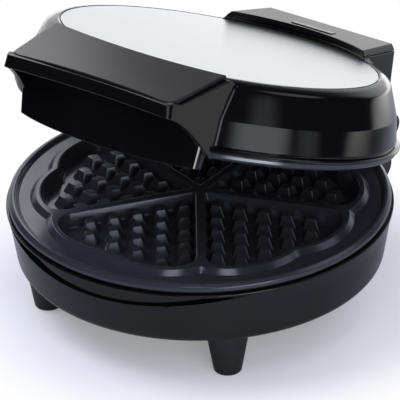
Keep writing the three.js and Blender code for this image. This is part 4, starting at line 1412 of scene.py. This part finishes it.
@dataclass
class Base:
    """The lower housing with its scoop and turret, and what is fixed to it."""

    sizes: BaseSizes = BaseSizes()
    hinge: HingeSizes = HingeSizes()
    plate: PlateSizes = PlateSizes()
    screw_sizes: ScrewSizes = ScrewSizes()
    gland_sizes: GlandSizes = GlandSizes()
    scoop_steps: int = 96
    turret_steps: int = 16

    def bowl(self) -> Solid:
        """The turned wall and floor."""
        sizes = self.sizes
        outer = [
            (0, sizes.floor_height),
            (sizes.floor_radius, sizes.floor_height, sizes.floor_round),
            *sizes.side,
            (sizes.rim_radius - 0.1, sizes.rim_height - sizes.rim_drop, sizes.rim_round),
            (sizes.rim_radius, sizes.rim_height, sizes.rim_round),
            (sizes.seat_radius, sizes.rim_height, 0.25),
            (sizes.seat_radius, sizes.seat_height),
            (sizes.seat_inner, sizes.seat_height, 0.3),
            (sizes.seat_inner, sizes.seat_height - sizes.seat_thickness),
            *sizes.lining,
            (sizes.lining_radius, sizes.floor_height + sizes.wall, sizes.lining_round),
            (0, sizes.floor_height + sizes.wall),
        ]
        return Solid.turned(rounded(outer, False))

    def scoop(self) -> Solid:
        """The space cut out under the rim at the front."""
        sizes = self.sizes
        top = sizes.rim_height - sizes.scoop_lip
        low = sizes.rim_height - sizes.scoop_depth
        swing = math.acos((sizes.scoop_arc - (top - low)) / sizes.scoop_arc)
        down = -math.pi / 2
        middle = (0, low + sizes.scoop_arc)
        face = arc(middle, sizes.scoop_arc, down - swing, down + swing, self.scoop_steps)
        mouth = Solid.raised(face, 0, sizes.rim_radius + 3).moved(Matrix.Rotation(math.pi / 2, 4, "X"))
        return mouth.cut(Solid.bar(sizes.scoop_back, 0, sizes.rim_height + 1))

    def backing(self) -> Solid:
        """The wall behind the scoop."""
        sizes = self.sizes
        low, high = sizes.rim_height - sizes.scoop_depth - 3, sizes.seat_height - 1
        near, far = sizes.scoop_wall
        wide = sizes.rim_radius + 3
        front = Solid.plank((-wide, -wide, low - 1), (wide, sizes.scoop_wall_back, sizes.rim_height))
        return Solid.turned([(near, low), (far, low), (far, high), (near, high)]).shared(front)

    def turret(self) -> Solid:
        """The block that carries the hinge barrel."""
        sizes, hinge = self.sizes, self.hinge
        reach, drop = sizes.turret_back - sizes.turret_front, sizes.turret_drop - sizes.floor_height
        curve = []
        for turn in quarter(self.turret_steps):
            y = sizes.turret_front + reach * math.sin(turn)
            curve.append((y, sizes.turret_drop - drop * math.cos(turn)))
        side = [
            (sizes.turret_front, sizes.turret_top),
            *curve,
            (sizes.turret_back, hinge.z),
            (hinge.y - hinge.barrel, hinge.z),
            (hinge.y - hinge.barrel, sizes.turret_top),
        ]
        block = Solid.raised(side, -sizes.turret_half, sizes.turret_half).along_x()
        block = block.joined(hinge.bar(hinge.barrel, (-hinge.ear, hinge.ear), hinge.z))
        for hand in (-1, 1):
            ends = [hand * end for end in hinge.bore_ends]
            block = block.cut(hinge.bar(hinge.pin + hinge.pin_room, ends, hinge.z, POST_STEPS))
        return block.cut(Solid.plank(sizes.room_low, sizes.room_high))

    def vents(self) -> Solid:
        """The slots through the floor, set out by a geometry tree."""
        sizes = self.sizes
        outline = pad(*sizes.vent_half, sizes.vent_corner)
        graph = Graph("vent_slots", Solid.raised(outline, sizes.floor_height - 3, sizes.floor_height + 6))
        count = graph.value("Count", "Int", sizes.vent_count)
        pitch = graph.value("Pitch", "Float", sizes.vent_pitch)
        index = graph.node("GeometryNodeInputIndex")
        middle = graph.sum("DIVIDE", graph.sum("SUBTRACT", count, 1.0), 2.0)
        across = graph.sum("MULTIPLY", graph.sum("SUBTRACT", index, middle), pitch)
        inputs = {"Count": count, "Position": graph.vector(x=across)}
        points = graph.node("GeometryNodePoints", {}, inputs)
        return graph.solid(graph.copies(points, graph.piece), Finishes.gloss)

    def housing(self) -> Solid:
        """The whole housing with its edges rounded."""
        sizes, gland = self.sizes, self.gland_sizes
        shell = self.bowl().joined(self.backing()).cut(self.scoop())
        shell = shell.joined(self.turret())
        way = Solid.plank(sizes.way_low, sizes.way_high)
        mouth = Solid.bar(gland.neck_hole, 0, ABOVE, POST_STEPS).moved(self.backward())
        mouth = mouth.shifted(0, sizes.way_low[1], gland.height)
        shell = shell.cut(way, mouth, self.vents())
        above, below = sizes.floor_height + 1, sizes.floor_height - 1
        post = Solid.bar(sizes.post_radius, above, sizes.post_top, POST_STEPS)
        well = Solid.bar(sizes.post_well, below, sizes.post_well_top, POST_STEPS)
        hole = Solid.bar(sizes.screw_hole, below, ABOVE, HOLE_STEPS)
        for x, y in self.plate.bosses():
            shell = shell.joined(post.shifted(x, y, 0))
            shell = shell.cut(well.shifted(x, y, 0), hole.shifted(x, y, 0))
        return shell.softened(sizes.edge_round, 2, 40)

    @staticmethod
    def backward() -> Matrix:
        """The turn that lays a shape's own Z toward the back."""
        return Matrix.Rotation(-math.pi / 2, 4, "X")

    def foot(self) -> Solid:
        """One foot with its screw well."""
        sizes = self.sizes
        web = sizes.foot_height - sizes.foot_web
        profile = rounded(
            [
                (sizes.foot_well, 0, 0.3),
                (sizes.foot_end - 0.3, 0, 1.6),
                (sizes.foot_top, sizes.foot_height, 0.4),
                (sizes.screw_hole, sizes.foot_height),
                (sizes.screw_hole, web),
                (sizes.foot_well, web),
            ],
            True,
        )
        return Solid.turned(profile, FOOT_STEPS)

    def screw(self) -> Solid:
        """One foot's screw, its head down, with a cross recess."""
        sizes = self.screw_sizes
        top = self.sizes.foot_height - self.sizes.foot_web - GAP
        head, reach, half = top - sizes.head_height, sizes.recess_reach, sizes.recess_half
        profile = [
            (0, head),
            (sizes.head_radius, head, sizes.head_round),
            (sizes.head_radius, top, 0.2),
            (sizes.shaft_radius, top),
            (sizes.shaft_radius, sizes.end - 1, 0.3),
            (0, sizes.end),
        ]
        body = Solid.turned(rounded(profile, False), POST_STEPS)
        slot = Solid.plank((-reach, -half, top - 3), (reach, half, top - sizes.recess_floor))
        return body.cut(slot, slot.moved(Matrix.Rotation(math.pi / 2, 4, "Z")))

    def gland(self) -> Solid:
        """The open gland for the cord."""
        outer, gland = self.sizes.turret_back + GAP, self.gland_sizes
        profile = rounded(
            [
                (gland.bore, outer - gland.neck_length),
                (gland.neck, outer - gland.neck_length, 0.3),
                (gland.neck, outer),
                (gland.collar, outer, 0.3),
                (gland.collar, outer + gland.collar_length, 0.4),
                (gland.face, outer + gland.face_length, 0.5),
                (gland.bore, outer + gland.face_length, 0.5),
            ],
            True,
        )
        return Solid.turned(profile, FOOT_STEPS).moved(self.backward()).shifted(0, 0, gland.height)

    def pins(self) -> Solid:
        """The two hinge pins."""
        hinge = self.hinge
        right = hinge.bar(hinge.pin, hinge.pin_ends, hinge.z)
        return right.joined(hinge.bar(hinge.pin, [-end for end in hinge.pin_ends], hinge.z))

    def build(self, room: Showroom) -> None:
        """Shows the pieces of the base.

        Args:
            room: where the pieces are shown.
        """
        sizes = self.sizes
        start = math.radians(45)
        show = room.show
        show("lower_shell", self.housing(), Finishes.gloss, Body.BASE, ["base_housing"], "gloss_black", 30)
        corners = ("front_left", "front_right", "rear_left", "rear_right")
        feet = round_copies("ring_of_feet", self.foot(), 4, sizes.foot_circle, start, Finishes.matte)
        show("feet", feet, Finishes.matte, Body.BASE, [f"foot_{corner}" for corner in corners], "matte_black")
        screws = round_copies("ring_of_screws", self.screw(), 4, sizes.foot_circle, start, Finishes.zinc)
        names = [f"foot_screw_{number}" for number in range(1, 5)]
        sides = ["hinge_pin_left", "hinge_pin_right"]
        show("foot_screws", screws, Finishes.zinc, Body.BASE, names, "zinc_steel")
        show("gland", self.gland(), Finishes.rubber, Body.BASE, ["cord_gland"], "black_rubber")
        show("pins", self.pins(), Finishes.zinc, Body.BASE, sides, "zinc_steel")


# Lid


@dataclass
class HandleCover:
    """The satin cover that slopes down over the handle."""

    sizes: CoverSizes = CoverSizes()
    bow_steps: int = 40
    round_steps: int = 5

    def outline(self, grow: float) -> list[Point]:
        """The cover's outline in its own plane, its back edge at the top.

        Args:
            grow: how far every edge is moved out.

        Returns:
            The outline's points.
        """
        sizes = self.sizes
        back, front = sizes.back_half + grow, sizes.front_half + grow
        far = -sizes.run - grow
        corner = sizes.corner + grow
        points = []
        for step in range(self.bow_steps + 1):
            share = 1 - 2 * step / self.bow_steps
            points.append((back * share, grow - sizes.back_bow * (1 - share**2)))
        side = Vector((back - front, grow - far)).normalized() * corner
        near = front - corner

        def bowed(x: float) -> float:
            """The front edge, which bows in toward its middle."""
            return far + sizes.front_bow * (1 - (x / front) ** 2)

        def turn(hand: int) -> list[Point]:
            """One front corner, from its side edge to its front edge."""
            start = (hand * (front + side.x), far + side.y)
            return bezier(start, (hand * front, far), (hand * near, bowed(near)), 10)

        points.extend(turn(-1))
        for step in range(1, self.bow_steps):
            x = near * (2 * step / self.bow_steps - 1)
            points.append((x, bowed(x)))
        points.extend(reversed(turn(1)))
        return points

    def tilt(self) -> Matrix:
        """From the cover's own plane to the lid's frame."""
        sizes = self.sizes
        return Matrix.Translation((0, sizes.back_y, sizes.back_z)) @ Matrix.Rotation(sizes.slope, 4, "X")

    def prism(self, grow: float, low: float, high: float) -> Solid:
        """The cover's outline raised square to its face."""
        return Solid.raised(self.outline(grow), low, high).moved(self.tilt())

    def solid(self) -> Solid:
        """The cover, its upper edge rounded."""
        low, under, edge = -self.sizes.thickness, self.sizes.under_round, self.sizes.edge_round
        rings = [(low, -under), (low + under, 0.0)]
        for angle in quarter(self.round_steps):
            rings.append((-edge * (1 - math.sin(angle)), -edge * (1 - math.cos(angle))))
        return Solid.stacked(self.outline, rings).moved(self.tilt())


@dataclass
class Lid:
    """The lid's housing and all that is fixed to it."""

    sizes: LidSizes = LidSizes()
    handle: HandleSizes = HandleSizes()
    rear: RearSizes = RearSizes()
    hinge: HingeSizes = HingeSizes()
    placing: Placing = field(default_factory=Placing)
    cover: HandleCover = field(default_factory=HandleCover)
    bow_steps: int = 48
    apron_steps: int = 60
    seam_steps: int = 32
    seam_parts: int = 6
    skirt_steps: int = 6

    def shell(self) -> Solid:
        """The turned part of the housing, with its walls and the floor that the disc lies on."""
        sizes = self.sizes
        low, under = -sizes.flange_bottom, -sizes.disc_seat - sizes.wall
        profile = [
            (0, -sizes.disc_seat),
            (sizes.bore_radius, -sizes.disc_seat),
            (sizes.bore_radius, -0.25),
            (sizes.round_top, 0, 0.4),
            *sizes.shoulder,
            (sizes.cone_radius + 0.6, -sizes.cone_drop - 1.2, 8),
            (sizes.crease_radius, -sizes.crease_drop, 1.2),
            (sizes.band_radius, -sizes.band_drop, 0.3),
            (sizes.groove_radius, -sizes.band_drop - 0.5),
            (sizes.groove_radius, -sizes.flange_top + 0.5),
            (sizes.flange_radius - 0.5, -sizes.flange_top + 0.2, 0.3),
            (sizes.flange_radius, -sizes.flange_top - 0.3, 0.3),
            (sizes.flange_radius, low + 0.4, 0.3),
            (sizes.flange_radius - 0.4, low, 0.2),
            (sizes.plate_seat_radius, low),
            *sizes.plate_seat,
            *sizes.lining,
            (sizes.lining_radius, under, 3),
        ]
        return Solid.turned([*rounded(profile, False), (0, under)], LID_STEPS)

    def half(self, y: float, level: float) -> float:
        """Half the handle block's width at a place and a height."""
        handle = self.handle
        wide = handle.front_half + handle.side_draft * (handle.lip_top - level)
        return wide + handle.side_slope * (y - handle.lip_y)

    def plan(self, inset: float, front: float, corner: float, level: float) -> Ring:
        """The handle block's plan at a height.

        Args:
            inset: how far its side walls are drawn in.
            front: where it ends in front.
            corner: radius of its front corners.
            level: the height.

        Returns:
            The plan's points.
        """
        far = self.handle.inner_y
        back, near = self.half(far, level) - inset, self.half(front, level) - inset
        corners = [(back, far), (-back, far), (-near, front, corner), (near, front, corner)]
        return [(x, y, level) for x, y in rounded(corners, True, 6)]

    def drafted(self, inset: float, front: float, corner: float, low: float, high: float) -> Solid:
        """The handle's plan raised between two heights, with its draft."""
        return Solid.lofted([self.plan(inset, front, corner, level) for level in (low, high)])

    def block(self) -> Solid:
        """The handle block: its lip, side walls and finger recess.

        Its side view is stretched over the whole width, with the lip bowed in at the middle,
        and then cut to the plan.
        """
        handle, cover = self.handle, self.cover.sizes
        drop = cover.thickness / math.cos(cover.slope)
        knee, fin = (handle.knee_y, handle.knee_z), (handle.fin_y, handle.fin_z)
        low = bezier((handle.lip_y + handle.tip_back, handle.lip_bottom), knee, fin, 32)
        nose = (handle.nose_y, cover.height(handle.nose_y))
        rise, crest = cover.front_y + 3 * cover.thickness, cover.front_y + cover.thickness / 2
        tip = (handle.lip_y, handle.lip_bottom + handle.tip_rise)
        front = bezier(nose, (handle.lip_y - handle.nose_lean, nose[1]), tip, 8)
        under = bezier(tip, (handle.lip_y, handle.lip_bottom), low[0], 3)
        side = [
            (handle.inner_y, handle.inner_z),
            (cover.back_y, cover.height(cover.back_y) - drop),
            (rise, cover.height(rise) - drop),
            (crest, cover.height(crest)),
            *front,
            *under[1:],
            *low[1:],
            (handle.inner_y, handle.fin_z),
        ]
        reach = handle.knee_y - handle.lip_y
        rings: list[Ring] = []
        for step in range(self.bow_steps + 1):
            x = handle.stretch * (2 * step / self.bow_steps - 1)
            bow = handle.bow * max(0.0, 1 - (x / handle.front_half) ** 2)
            ring = []
            for y, z in side:
                share = min(1.0, max(0.0, (handle.knee_y - y) / reach))
                ring.append((y + bow * share, z, x))
            rings.append(ring)
        body = Solid.lofted(rings).along_x()
        body = body.shared(self.drafted(0, handle.lip_y, handle.corner, handle.plan_low, ABOVE))
        mouth = handle.lip_y + handle.lip + handle.bow / 2
        return body.cut(self.drafted(handle.fin, mouth, handle.inner_corner, BELOW, handle.ceiling))

    def apron(self) -> Solid:
        """The curved wall under the handle, in front of the plates."""
        sizes = self.sizes

        def ring(level: float) -> Ring:
            """The apron's plan at a height."""
            grow = sizes.apron_lean * (level + sizes.apron_bottom)
            radius, half = sizes.apron_reach + grow, sizes.apron_half + grow
            swing, down = math.asin(half / radius), -math.pi / 2
            face = arc((0, 0), radius, down - swing, down + swing, self.apron_steps)
            far = self.handle.inner_y
            corners = [(*face[0], sizes.apron_corner), *face[5:-5], (*face[-1], sizes.apron_corner)]
            outline = rounded([*corners, (half, far), (-half, far)], True, 6)
            return [(x, y, level) for x, y in outline]

        wall = Solid.lofted([ring(-sizes.apron_bottom), ring(-sizes.apron_top)])
        handle = self.handle
        room = self.drafted(sizes.apron_inset, handle.lip_y, handle.inner_corner, BELOW, ABOVE)
        flange = Solid.bar(sizes.apron_inner, handle.plan_low, GAP - sizes.flange_bottom, LID_STEPS)
        return wall.shared(room).cut(flange)

    def skin(self, level: float) -> float:
        """Radius of the housing's outside at a height."""
        sizes = self.sizes
        stops = (
            (-sizes.band_drop, sizes.band_radius),
            (-sizes.crease_drop, sizes.crease_radius),
            (-sizes.cone_drop - 1.2, sizes.cone_radius + 0.6),
            *((height, radius) for radius, height, _ in reversed(sizes.shoulder)),
            (0.0, sizes.round_top),
        )
        return read_off(stops, level)

    def seam(self, hand: int) -> Solid:
        """The rounding where a side wall of the handle runs into the housing."""
        handle, reach, sunk = self.handle, self.handle.seam_round, 0.02
        spots = self.seam_path()
        rings: list[Ring] = []
        wall = Vector((1, -handle.side_slope, handle.side_draft)).normalized()
        for index, spot in enumerate(spots):
            run = spots[min(index + 1, self.seam_steps)] - spots[max(index - 1, 0)]
            run.normalize()
            radius = self.skin(spot.z)
            rise = (self.skin(spot.z - 1) - self.skin(spot.z + 1)) / 2
            cone = Vector((spot.x / radius, spot.y / radius, rise)).normalized()
            on_wall = run.cross(wall).normalized()
            on_cone = run.cross(cone).normalized()
            on_wall *= 1 if on_wall.dot(cone) > 0 else -1
            on_cone *= 1 if on_cone.dot(wall) > 0 else -1
            first, last = spot + on_wall * reach, spot + on_cone * reach
            inner = spot - (wall + cone).normalized() * handle.seam_depth
            curve = []
            for part in range(self.seam_parts + 1):
                t = part / self.seam_parts
                curve.append(first * (1 - t) ** 2 + spot * (2 * t * (1 - t)) + last * t * t)
            curve[0] = first - wall * sunk
            curve[-1] = last - cone * sunk
            ring = [inner, inner * 0.5 + (first - wall * 0.6) * 0.5, *curve]
            rings.append([(hand * point.x, point.y, point.z) for point in ring])
        return Solid.lofted(rings)

    def seam_path(self) -> list[Vector]:
        """Where a side wall of the handle meets the housing's outside, from the top down."""
        top, spots = self.handle.seam_top, []
        for step in range(self.seam_steps + 1):
            level = top - (self.sizes.band_drop + top) * step / self.seam_steps
            radius = self.skin(level)
            y = self.cover.sizes.back_y
            for _ in range(12):
                y = -math.sqrt(radius**2 - self.half(y, level) ** 2)
            spots.append(Vector((self.half(y, level), y, level)))
        return spots

    def rear_ring(self, height: float, grow: float = 0.0) -> Ring:
        """The rear block's plan at a height, moved out by a distance."""
        rear = self.rear
        share = (rear.top_back - height) / (rear.top_back - rear.foot)
        half = rear.half(height) + grow
        back, near = rear.back_y + rear.back_lean * share, half + rear.near_spread
        tilt = rear.slope * (1 - share)
        plan = [(near, rear.near_y), (half, back), (-half, back), (-near, rear.near_y)]
        return [(x, y, height + tilt * (y - rear.back_y)) for x, y in plan]

    def slab(self, *heights: float) -> Solid:
        """A slice of the rear block through some heights."""
        return Solid.lofted([self.rear_ring(height) for height in heights])

    def skirt(self) -> Solid:
        """The low flare at the foot of the rear block's ends, on the lid's round top."""
        rear = self.rear
        rise = rear.seam - GAP - rear.skirt_foot
        rings = []
        for turn in quarter(self.skirt_steps):
            height = rear.skirt_foot + rise * (1 - math.cos(turn))
            ring = self.rear_ring(rear.seam, rear.skirt * (1 - math.sin(turn)))
            rings.append([(x, y, height + rear.slope * (y - rear.back_y)) for x, y, _ in ring])
        low = [(x, y, -self.sizes.cone_drop) for x, y, _ in rings[0]]
        flare = Solid.lofted([low, *rings])
        return flare.shared(Solid.bar(self.sizes.bore_radius + rear.skirt_reach, BELOW, ABOVE))

    def core(self, radius: float) -> Solid:
        """The inside of the housing, which the blocks stay clear of."""
        sizes = self.sizes
        profile = [
            (0, sizes.core_low),
            (radius, sizes.core_low),
            (radius, sizes.core_foot),
            *sizes.core,
            (sizes.bore_radius, -sizes.disc_seat),
            (sizes.bore_radius, ABOVE),
            (0, ABOVE),
        ]
        return Solid.turned(profile)

    def rear_block(self) -> Solid:
        """The rear block with its room, its bay for the barrel and its lugs."""
        rear, hinge = self.rear, self.hinge
        block = self.slab(rear.foot, rear.bend, rear.seam - GAP)
        inner, near, far = hinge.lug_inner, rear.room_y[0], rear.room_y[1]
        bay = Solid.plank(
            (-inner, rear.inner_radius, rear.foot - 3),
            (inner, rear.bay_back, rear.bay_top),
        )
        room = Solid.plank(
            (-rear.room_half, near, rear.bay_top + 3),
            (rear.room_half, far, rear.room_top),
        )
        block = block.joined(self.skirt()).cut(bay, room, self.core(self.sizes.flange_radius + 1))
        for hand in (-1, 1):
            ends = (hand * inner, hand * hinge.lug_outer)
            block = block.joined(hinge.bar(hinge.barrel, ends, self.placing.hinge_in_lid))
        return block

    def front_block(self) -> Solid:
        """The handle block and the apron as one, clear of the inside of the housing."""
        block = self.block().joined(self.apron())
        return block.cut(self.core(self.sizes.apron_inner), self.pocket())

    def pocket(self) -> Solid:
        """The room that the handle's cover lies in."""
        return self.cover.prism(GAP, -self.cover.sizes.thickness - GAP, ABOVE)

    def rear_cover(self) -> Solid:
        """The cover of the rear block with its slot."""
        rear = self.rear
        slab = self.slab(rear.seam, rear.top_back)
        half, wide = rear.lens_length / 2 + GAP, rear.lens_width / 2 + GAP
        slot = Solid.raised(pad(half, wide, rear.slot_corner, rear.lens_y), BELOW, ABOVE)
        return slab.cut(Solid.bar(rear.inner_radius + GAP, BELOW, ABOVE), slot)

    def lens(self) -> Solid:
        """The long lens over the lamps."""
        rear = self.rear
        top = rear.top_back + rear.slope * (rear.lens_y - rear.back_y) + rear.lens_rise
        outline = pad(rear.lens_length / 2, rear.lens_width / 2, rear.lens_corner, rear.lens_y)
        return Solid.raised(outline, top - rear.lens_depth, top)

    def disc(self) -> Solid:
        """The thin steel disc, trimmed along the handle's cover."""
        radius, low = self.sizes.disc_radius, -self.sizes.disc_thickness
        profile = rounded([(0, low), (radius, low), (radius, 0, 0.3), (0, 0)], False)
        return Solid.turned(profile, LID_STEPS).cut(self.cover.prism(2 * GAP, BELOW, ABOVE))

    def build(self, room: Showroom) -> None:
        """Shows the pieces of the lid.

        Args:
            room: where the pieces are shown.
        """
        show = room.show
        shell = self.shell().cut(self.pocket())
        show("lid_shell", shell, Finishes.gloss, Body.LID, ["lid_housing"], "gloss_black", 28)
        block = self.front_block().softened(self.handle.edge_round)
        show("handle_block", block, Finishes.gloss, Body.LID, [], "gloss_black", 30)
        for hand, side in ((-1, "left"), (1, "right")):
            show(f"seam_{side}", self.seam(hand), Finishes.gloss, Body.LID, [], "gloss_black", 50)
        rear = self.rear_block().softened(self.rear.block_round)
        show("hinge_block", rear, Finishes.gloss, Body.LID, [], "gloss_black", 30)
        show("handle_panel", self.cover.solid(), Finishes.satin, Body.LID, ["handle_cover"], "satin_grey", 40)
        show("top_disc", self.disc(), Finishes.disc, Body.LID, ["lid_top_disc"], "brushed_disc", 40)
        top = self.rear_cover().softened(self.rear.cover_round)
        show("rear_panel", top, Finishes.gloss, Body.LID, ["rear_cover"], "gloss_black", 30)
        lens = self.lens().softened(self.rear.lens_round)
        show("lamp_window", lens, Finishes.lens, Body.LID, ["indicator_lens"], "clear_lens", 30)


# Inner pieces


@dataclass
class InnerPieces:
    """The CAD nodes that keep their own meshes, mostly hidden inside."""

    finishes: dict[str, Finish] = field(
        default_factory=lambda: {
            "heating_element": Finishes.heater,
            "element_bracket": Finishes.zinc,
            "bracket_screw": Finishes.zinc,
            "plate_screw": Finishes.zinc,
            "heat_shield": Finishes.shield,
            "thermal_fuse": Finishes.ceramic,
            "terminal_block": Finishes.ceramic,
            "thermostat": Finishes.zinc,
            "lamp_holder": Finishes.ceramic,
            "lamp_red": Finishes.red,
            "lamp_green": Finishes.green,
        }
    )

    def build(self, nodes: dict[str, bpy.types.Object]) -> None:
        """Gives each such node its finish.

        Args:
            nodes: the frame's nodes by name.
        """
        for name, node in nodes.items():
            for part, finish in self.finishes.items():
                if part in name:
                    node.data.materials.clear()
                    node.data.materials.append(finish.material())
                    LOG.info("%s keeps its solid, in %s", name, finish.name)


# Studio


@dataclass(frozen=True)
class Patch:
    """A round patch that gleams: the way to it, how it fades in and its strength."""

    aim: tuple[float, float, float]
    fade: tuple[float, float]
    strength: float

    def seen(self, shader: Shader, direction: Signal) -> Signal:
        """How much of the patch lies in a direction, 1 in its middle."""
        sockets = {0: direction, 1: Vector(self.aim).normalized()}
        nearness = shader.node("ShaderNodeVectorMath", {"operation": "DOT_PRODUCT"}, sockets, "Value")
        return nearness.between(*self.fade)


@dataclass(frozen=True)
class Lamp:
    """A soft rectangular lamp that faces the object, in metres and watts."""

    name: str
    spot: tuple[float, float, float]
    size: tuple[float, float]
    watts: float
    mirrored: bool = False

    def hang(self) -> None:
        """Adds the lamp to the scene."""
        data = bpy.data.lights.new(self.name, "AREA")
        data.shape = "RECTANGLE"
        data.size, data.size_y = self.size
        data.energy = self.watts
        lamp = linked(self.name, data)
        lamp.visible_glossy = self.mirrored
        lamp.visible_camera = False
        lamp.location = self.spot
        lamp.rotation_euler = (Vector(self.spot) - Vector((0, 0, 0.08))).to_track_quat("Z", "Y").to_euler()


@dataclass
class Studio:
    """The floor, the light and the camera.

    The camera sees the floor and the surround white. In reflections they are patchy: strip is
    the strength of the floor some way behind, floor_glow the part of the mirrored floor's glow
    that fades in with distance, shade what the backdrop loses overhead, and dimmest what is
    left between the patches. The surround's own value is its plain light on the object, and
    floor_lift brightens the floor near the object.
    """

    azimuth: float = 35.83
    elevation: float = 29.04
    roll: float = -0.81
    distance: float = 2.063
    lens: float = 341.9
    target: tuple[float, float, float] = (0.0, 0.0, 56.6)
    near_floor: tuple[float, float] = (0.108, 0.165)
    white_sky: tuple[float, float, float] = (1.0, 1.0, 1.0)
    cool_sky: tuple[float, float, float] = (0.9, 0.93, 1.0)
    # painted shade tint: the near floor's pale blue colour, which makes the object's shadow look blue
    floor_shadow_tint: tuple[float, float, float] = (0.8, 0.84, 1.0)
    floor_lift: float = 0.25
    floor_glow: float = 0.45
    strip: float = 1.2
    shade: float = 0.88
    dimmest: float = 0.005
    surround: float = 0.5
    backdrop: Patch = Patch((-0.5, 0.87, 0.0), (0.55, 0.8), 1.0)
    right_floor: Patch = Patch((0.95, 0.25, 0.0), (0.8, 0.95), 0.62)
    patches: tuple[Patch, ...] = (
        Patch((0.5, 0.5, 0.7), (0.95, 0.99), 1.0),
        Patch((0.89, -0.3, 0.3), (0.93, 0.99), 2.0),
        Patch((0.98, 0.1, -0.05), (0.975, 0.997), 0.55),
    )
    lamps: tuple[Lamp, ...] = (
        Lamp("key", (-0.9, -0.5, 1.5), (0.9, 0.9), 14),
        Lamp("fill", (1.3, -0.9, 1.0), (1.0, 1.0), 7),
        Lamp("back", (0.2, 1.4, 1.1), (1.4, 0.8), 8),
        Lamp("corner_window", (0.38, -0.25, 0.046), (0.22, 0.07), 0.48, True),
        Lamp("front_window", (0.35, -0.53, 1.13), (0.3, 0.3), 1.0, True),
        Lamp("rear_window", (-0.42, 0.245, 0.425), (0.28, 0.28), 0.46, True),
    )

    def floor(self) -> None:
        """A wide pale floor that keeps the object's shadow; its pale blue colour, used only near the object,
        tints that shadow blue as painted shade.
        """
        form = bmesh.new()
        bmesh.ops.create_grid(form, x_segments=2, y_segments=2, size=6.0)
        mesh = settled(form, "floor")
        material = bpy.data.materials.new("floor_white")
        material.use_nodes = True
        shader = Shader(material.node_tree)
        spot = shader.node("ShaderNodeTexCoord", output="Object")
        away = shader.node("ShaderNodeVectorMath", {"operation": "LENGTH"}, {0: spot}, "Value")
        depth = shader.node("ShaderNodeSeparateXYZ", {}, {0: spot}, 1)
        camera = shader.node("ShaderNodeLightPath", output="Is Camera Ray")
        glossy = shader.node("ShaderNodeLightPath", output="Is Glossy Ray")
        clear = shader.node("ShaderNodeLightPath", output="Is Transmission Ray")
        far = away.between(*self.near_floor)
        heading = shader.node("ShaderNodeVectorMath", {"operation": "NORMALIZE"}, {0: spot})
        behind = self.backdrop.seen(shader, heading)
        remote = away.between(0.25, 0.45)
        right = self.right_floor.seen(shader, heading)
        beside = depth.between(0.28, 0.5) * self.strip + right * remote * self.right_floor.strength
        # the near floor's diffuse colour is pale blue, a painted blue tint of the shadow
        matt = shader.node("ShaderNodeBsdfDiffuse", {}, {"Color": (*self.floor_shadow_tint, 1.0)})
        white = camera + clear + glossy * (remote * behind + beside * (1 - away.between(0.6, 1.0)))
        glow = shader.node("ShaderNodeEmission", {}, {"Color": (1.0, 1.0, 1.0, 1.0), "Strength": white})
        lift = camera * (1 - far) * self.floor_lift
        mirrored = remote * self.floor_glow + (1 - self.floor_glow)
        shown = (camera + clear) * far + glossy * mirrored + lift
        shader.node_output(
            "ShaderNodeOutputMaterial",
            shader.node("ShaderNodeMixShader", {}, {"Fac": shown, 1: matt, 2: glow}),
        )
        mesh.materials.append(material)
        floor = linked("floor", mesh)

    def world(self) -> None:
        """A white surround for the camera and for reflections, darker overhead in front."""
        world = bpy.data.worlds.new("studio")
        world.use_nodes = True
        bpy.context.scene.world = world
        shader = Shader(world.node_tree)
        direction = shader.node("ShaderNodeTexCoord", output="Generated")
        height = shader.node("ShaderNodeSeparateXYZ", {}, {0: direction}, 2)
        camera = shader.node("ShaderNodeLightPath", output="Is Camera Ray")
        glossy = shader.node("ShaderNodeLightPath", output="Is Glossy Ray")
        clear = shader.node("ShaderNodeLightPath", output="Is Transmission Ray")
        overhead = height.between(0.05, 0.5)
        mirrored = self.backdrop.seen(shader, direction) * (1 - overhead * self.shade)
        for patch in self.patches:
            mirrored = mirrored + patch.seen(shader, direction) * patch.strength
        mirrored = mirrored + self.dimmest
        seen = camera + clear
        level = seen + glossy * mirrored + (1 - seen) * (1 - glossy) * self.surround
        colour = shader.blend(glossy, self.white_sky, self.cool_sky)
        sky = shader.node("ShaderNodeBackground", {}, {"Color": colour, "Strength": level})
        shader.node_output("ShaderNodeOutputWorld", sky)

    def camera(self, shift: float) -> None:
        """The camera at the photograph's angle.

        Args:
            shift: how far the object is moved along Y, in millimetres.
        """
        azimuth, elevation = math.radians(self.azimuth), math.radians(self.elevation)
        away = Vector(
            (
                math.sin(azimuth) * math.cos(elevation),
                -math.cos(azimuth) * math.cos(elevation),
                math.sin(elevation),
            )
        )
        target = Vector((self.target[0], self.target[1] + shift, self.target[2])) * MILLIMETRE
        data = bpy.data.cameras.new("camera")
        data.lens = self.lens
        data.sensor_width = 36.0
        data.clip_end = 30.0
        camera = linked("camera", data)
        camera.location = target + away * self.distance
        facing = away.to_track_quat("Z", "Y").to_matrix().to_4x4()
        turned = facing @ Matrix.Rotation(math.radians(self.roll), 4, "Z")
        camera.rotation_euler = turned.to_euler()
        bpy.context.scene.camera = camera

    def build(self, shift: float) -> None:
        """Sets up the studio.

        Args:
            shift: how far the object is moved along Y, in millimetres.
        """
        self.floor()
        self.world()
        for lamp in self.lamps:
            lamp.hang()
        self.camera(shift)
        bpy.context.scene.view_settings.view_transform = "Standard"


def spread(corners: Iterable[Vector]) -> list[list[float]]:
    """A box as plain lists."""
    return [list(map(float, corner)) for corner in corners]


def main() -> None:
    """Builds the pieces in order around the frame."""
    logging.basicConfig(level=logging.INFO, format="%(name)s: %(message)s")
    for item in list(bpy.data.objects):
        bpy.data.objects.remove(item)
    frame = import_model()
    placing = Placing()
    room = Showroom(placing)
    Studio().build(placing.shift)
    builders: list[Callable[[Showroom], None]] = [CookingPlate().build, Base().build, Lid().build]
    for build in builders:
        build(room)
    InnerPieces().build(frame["nodes"])


if __name__ == "__main__":
    main()
